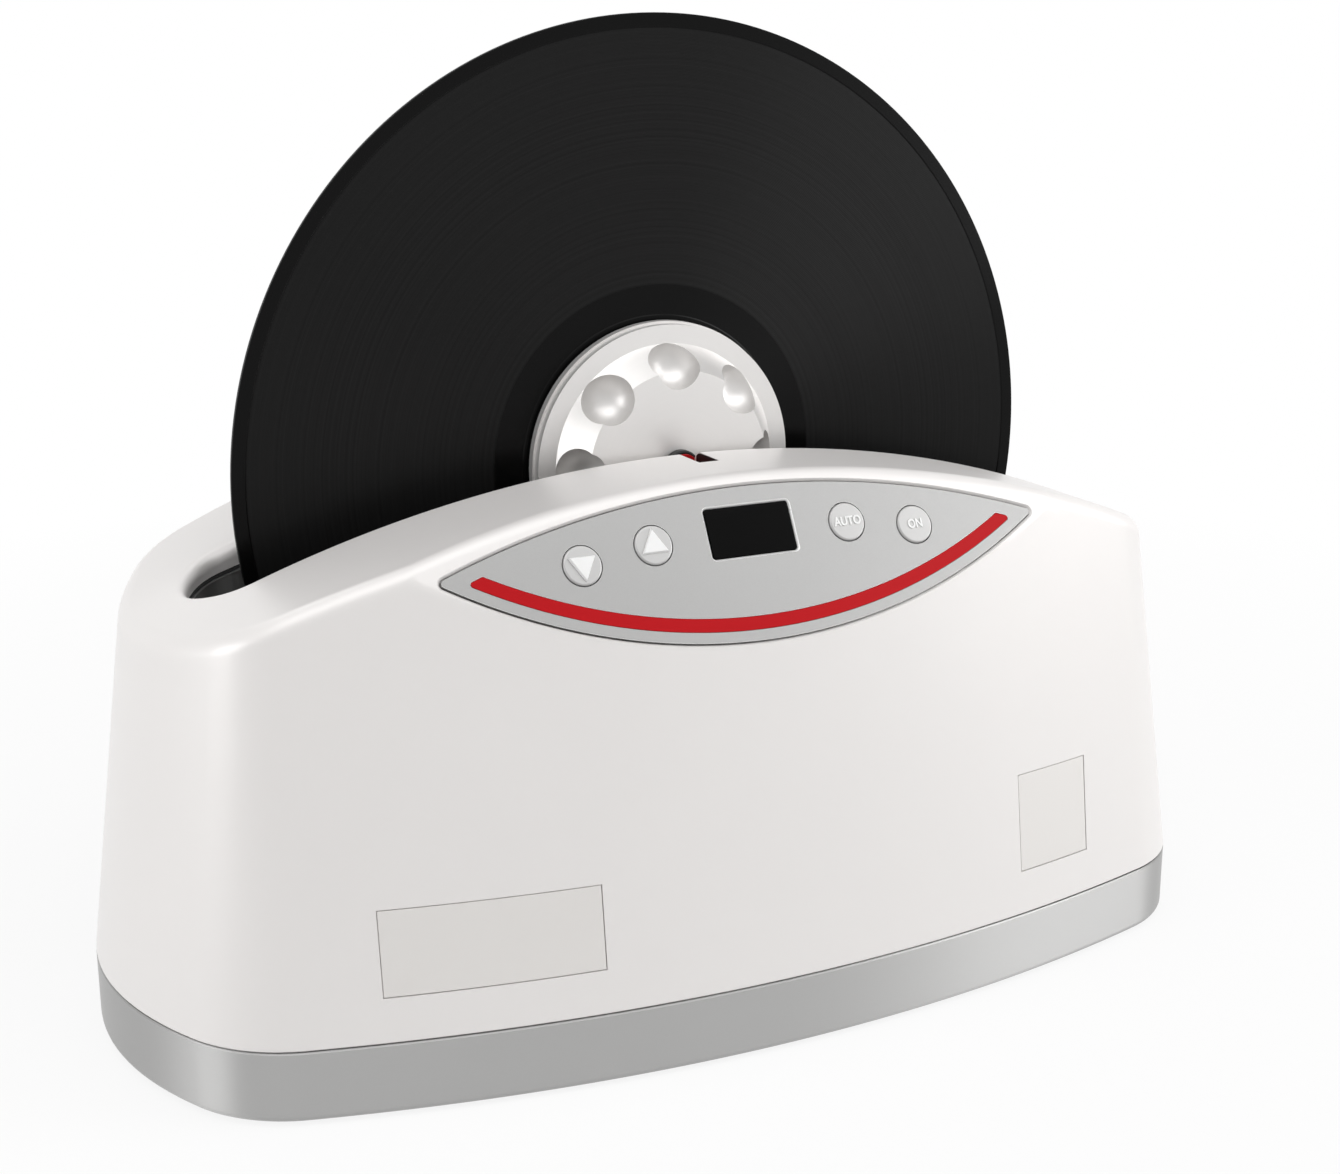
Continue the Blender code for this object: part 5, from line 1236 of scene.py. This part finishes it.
floor = new_piece("studio_floor", block((-4, -4, -0.02), (4, 4, 0)))
paper = Finish("studio_white", grey(0.80), 0.9)
mottle = paper.place(MOULDED_SKIN, grain_scale=40.0)["Mottle"]
paper.feed("Base Color", paper.mix(mottle, grey(0.80), grey(0.81)))
distance = paper.add("VectorMath")
distance.operation = "LENGTH"
paper.set(distance.inputs[0], paper.point())
fade = paper.range(distance.outputs["Value"], FLOOR_NEAR, FLOOR_FAR, FLOOR_NEAR_GLOW, 1.0)
blend = paper.add("MixShader")
paper.set(blend.inputs[0], paper.math("MULTIPLY", seen_by(paper, "Camera", "Glossy", "Transmission"), fade))
paper.set(blend.inputs[1], paper.shader.outputs[0])
paper.set(blend.inputs[2], paper.add("Emission").outputs[0])
paper.set(paper.nodes["Material Output"].inputs["Surface"], blend.outputs[0])
floor.data.materials.append(paper.material)

AIR_STRENGTH = 0.21
LAMP_TARGET = Vector((0.0, 0.0, 0.10))
world = bpy.data.worlds.new("studio_air")
world.use_nodes = True
bpy.context.scene.world = world
air = Wiring(world.node_tree)
strength = air.range(seen_by(air, "Camera", "Glossy"), 0, 1, AIR_STRENGTH, 1.0)
air.set_all(air.nodes["Background"], strength=strength, color=(1, 1, 1))
for name, spot, size, power in (
    ("left_softbox", (-1.5, 0.0, 0.45), (0.9, 0.8), 8.2),
    ("overhead_softbox", (-0.10, -0.60, 1.55), (2.0, 1.2), 14.6),
    ("upper_left_softbox", (-0.80, -0.45, 1.20), (0.6, 0.6), 0.6),
    ("right_softbox", (1.35, -0.80, 0.7), (1.0, 1.2), 15.0),
    ("back_softbox", (0.0, 0.9, 1.5), (1.4, 0.6), 4.0),
):
    lamp = bpy.data.lights.new(name, "AREA")
    lamp.shape = "RECTANGLE"
    lamp.size, lamp.size_y = size
    lamp.energy = power
    holder = bpy.data.objects.new(name, lamp)
    bpy.context.scene.collection.objects.link(holder)
    holder.location = spot
    holder.rotation_euler = (LAMP_TARGET - Vector(spot)).to_track_quat("-Z", "Y").to_euler()

# Camera
# It looks from the front left, a little from above, as the photograph was taken. Its place and lens were fitted to
# the record's edge, the base and the sides.
YAW, PITCH, ROLL = 0.4568, 0.27, -0.0016
CAMERA_PLACE = (-0.3124868, -0.6478829, 0.3317526)
SENSOR_WIDTH, FOCAL_LENGTH = 36.0, 56.11
ahead = Vector((math.sin(YAW) * math.cos(PITCH), math.cos(YAW) * math.cos(PITCH), -math.sin(PITCH)))
across = Vector((math.cos(YAW), -math.sin(YAW), 0))
upward = across.cross(ahead)
right = across * math.cos(ROLL) + upward * math.sin(ROLL)
top = upward * math.cos(ROLL) - across * math.sin(ROLL)
turn = Matrix((right, top, -ahead)).transposed().to_4x4()
camera = bpy.data.objects.new("camera", bpy.data.cameras.new("camera"))
bpy.context.scene.collection.objects.link(camera)
camera.matrix_world = Matrix.Translation(CAMERA_PLACE) @ turn
camera.data.sensor_width = SENSOR_WIDTH
camera.data.lens = FOCAL_LENGTH
bpy.context.scene.camera = camera
bpy.context.scene.view_settings.view_transform = "Standard"
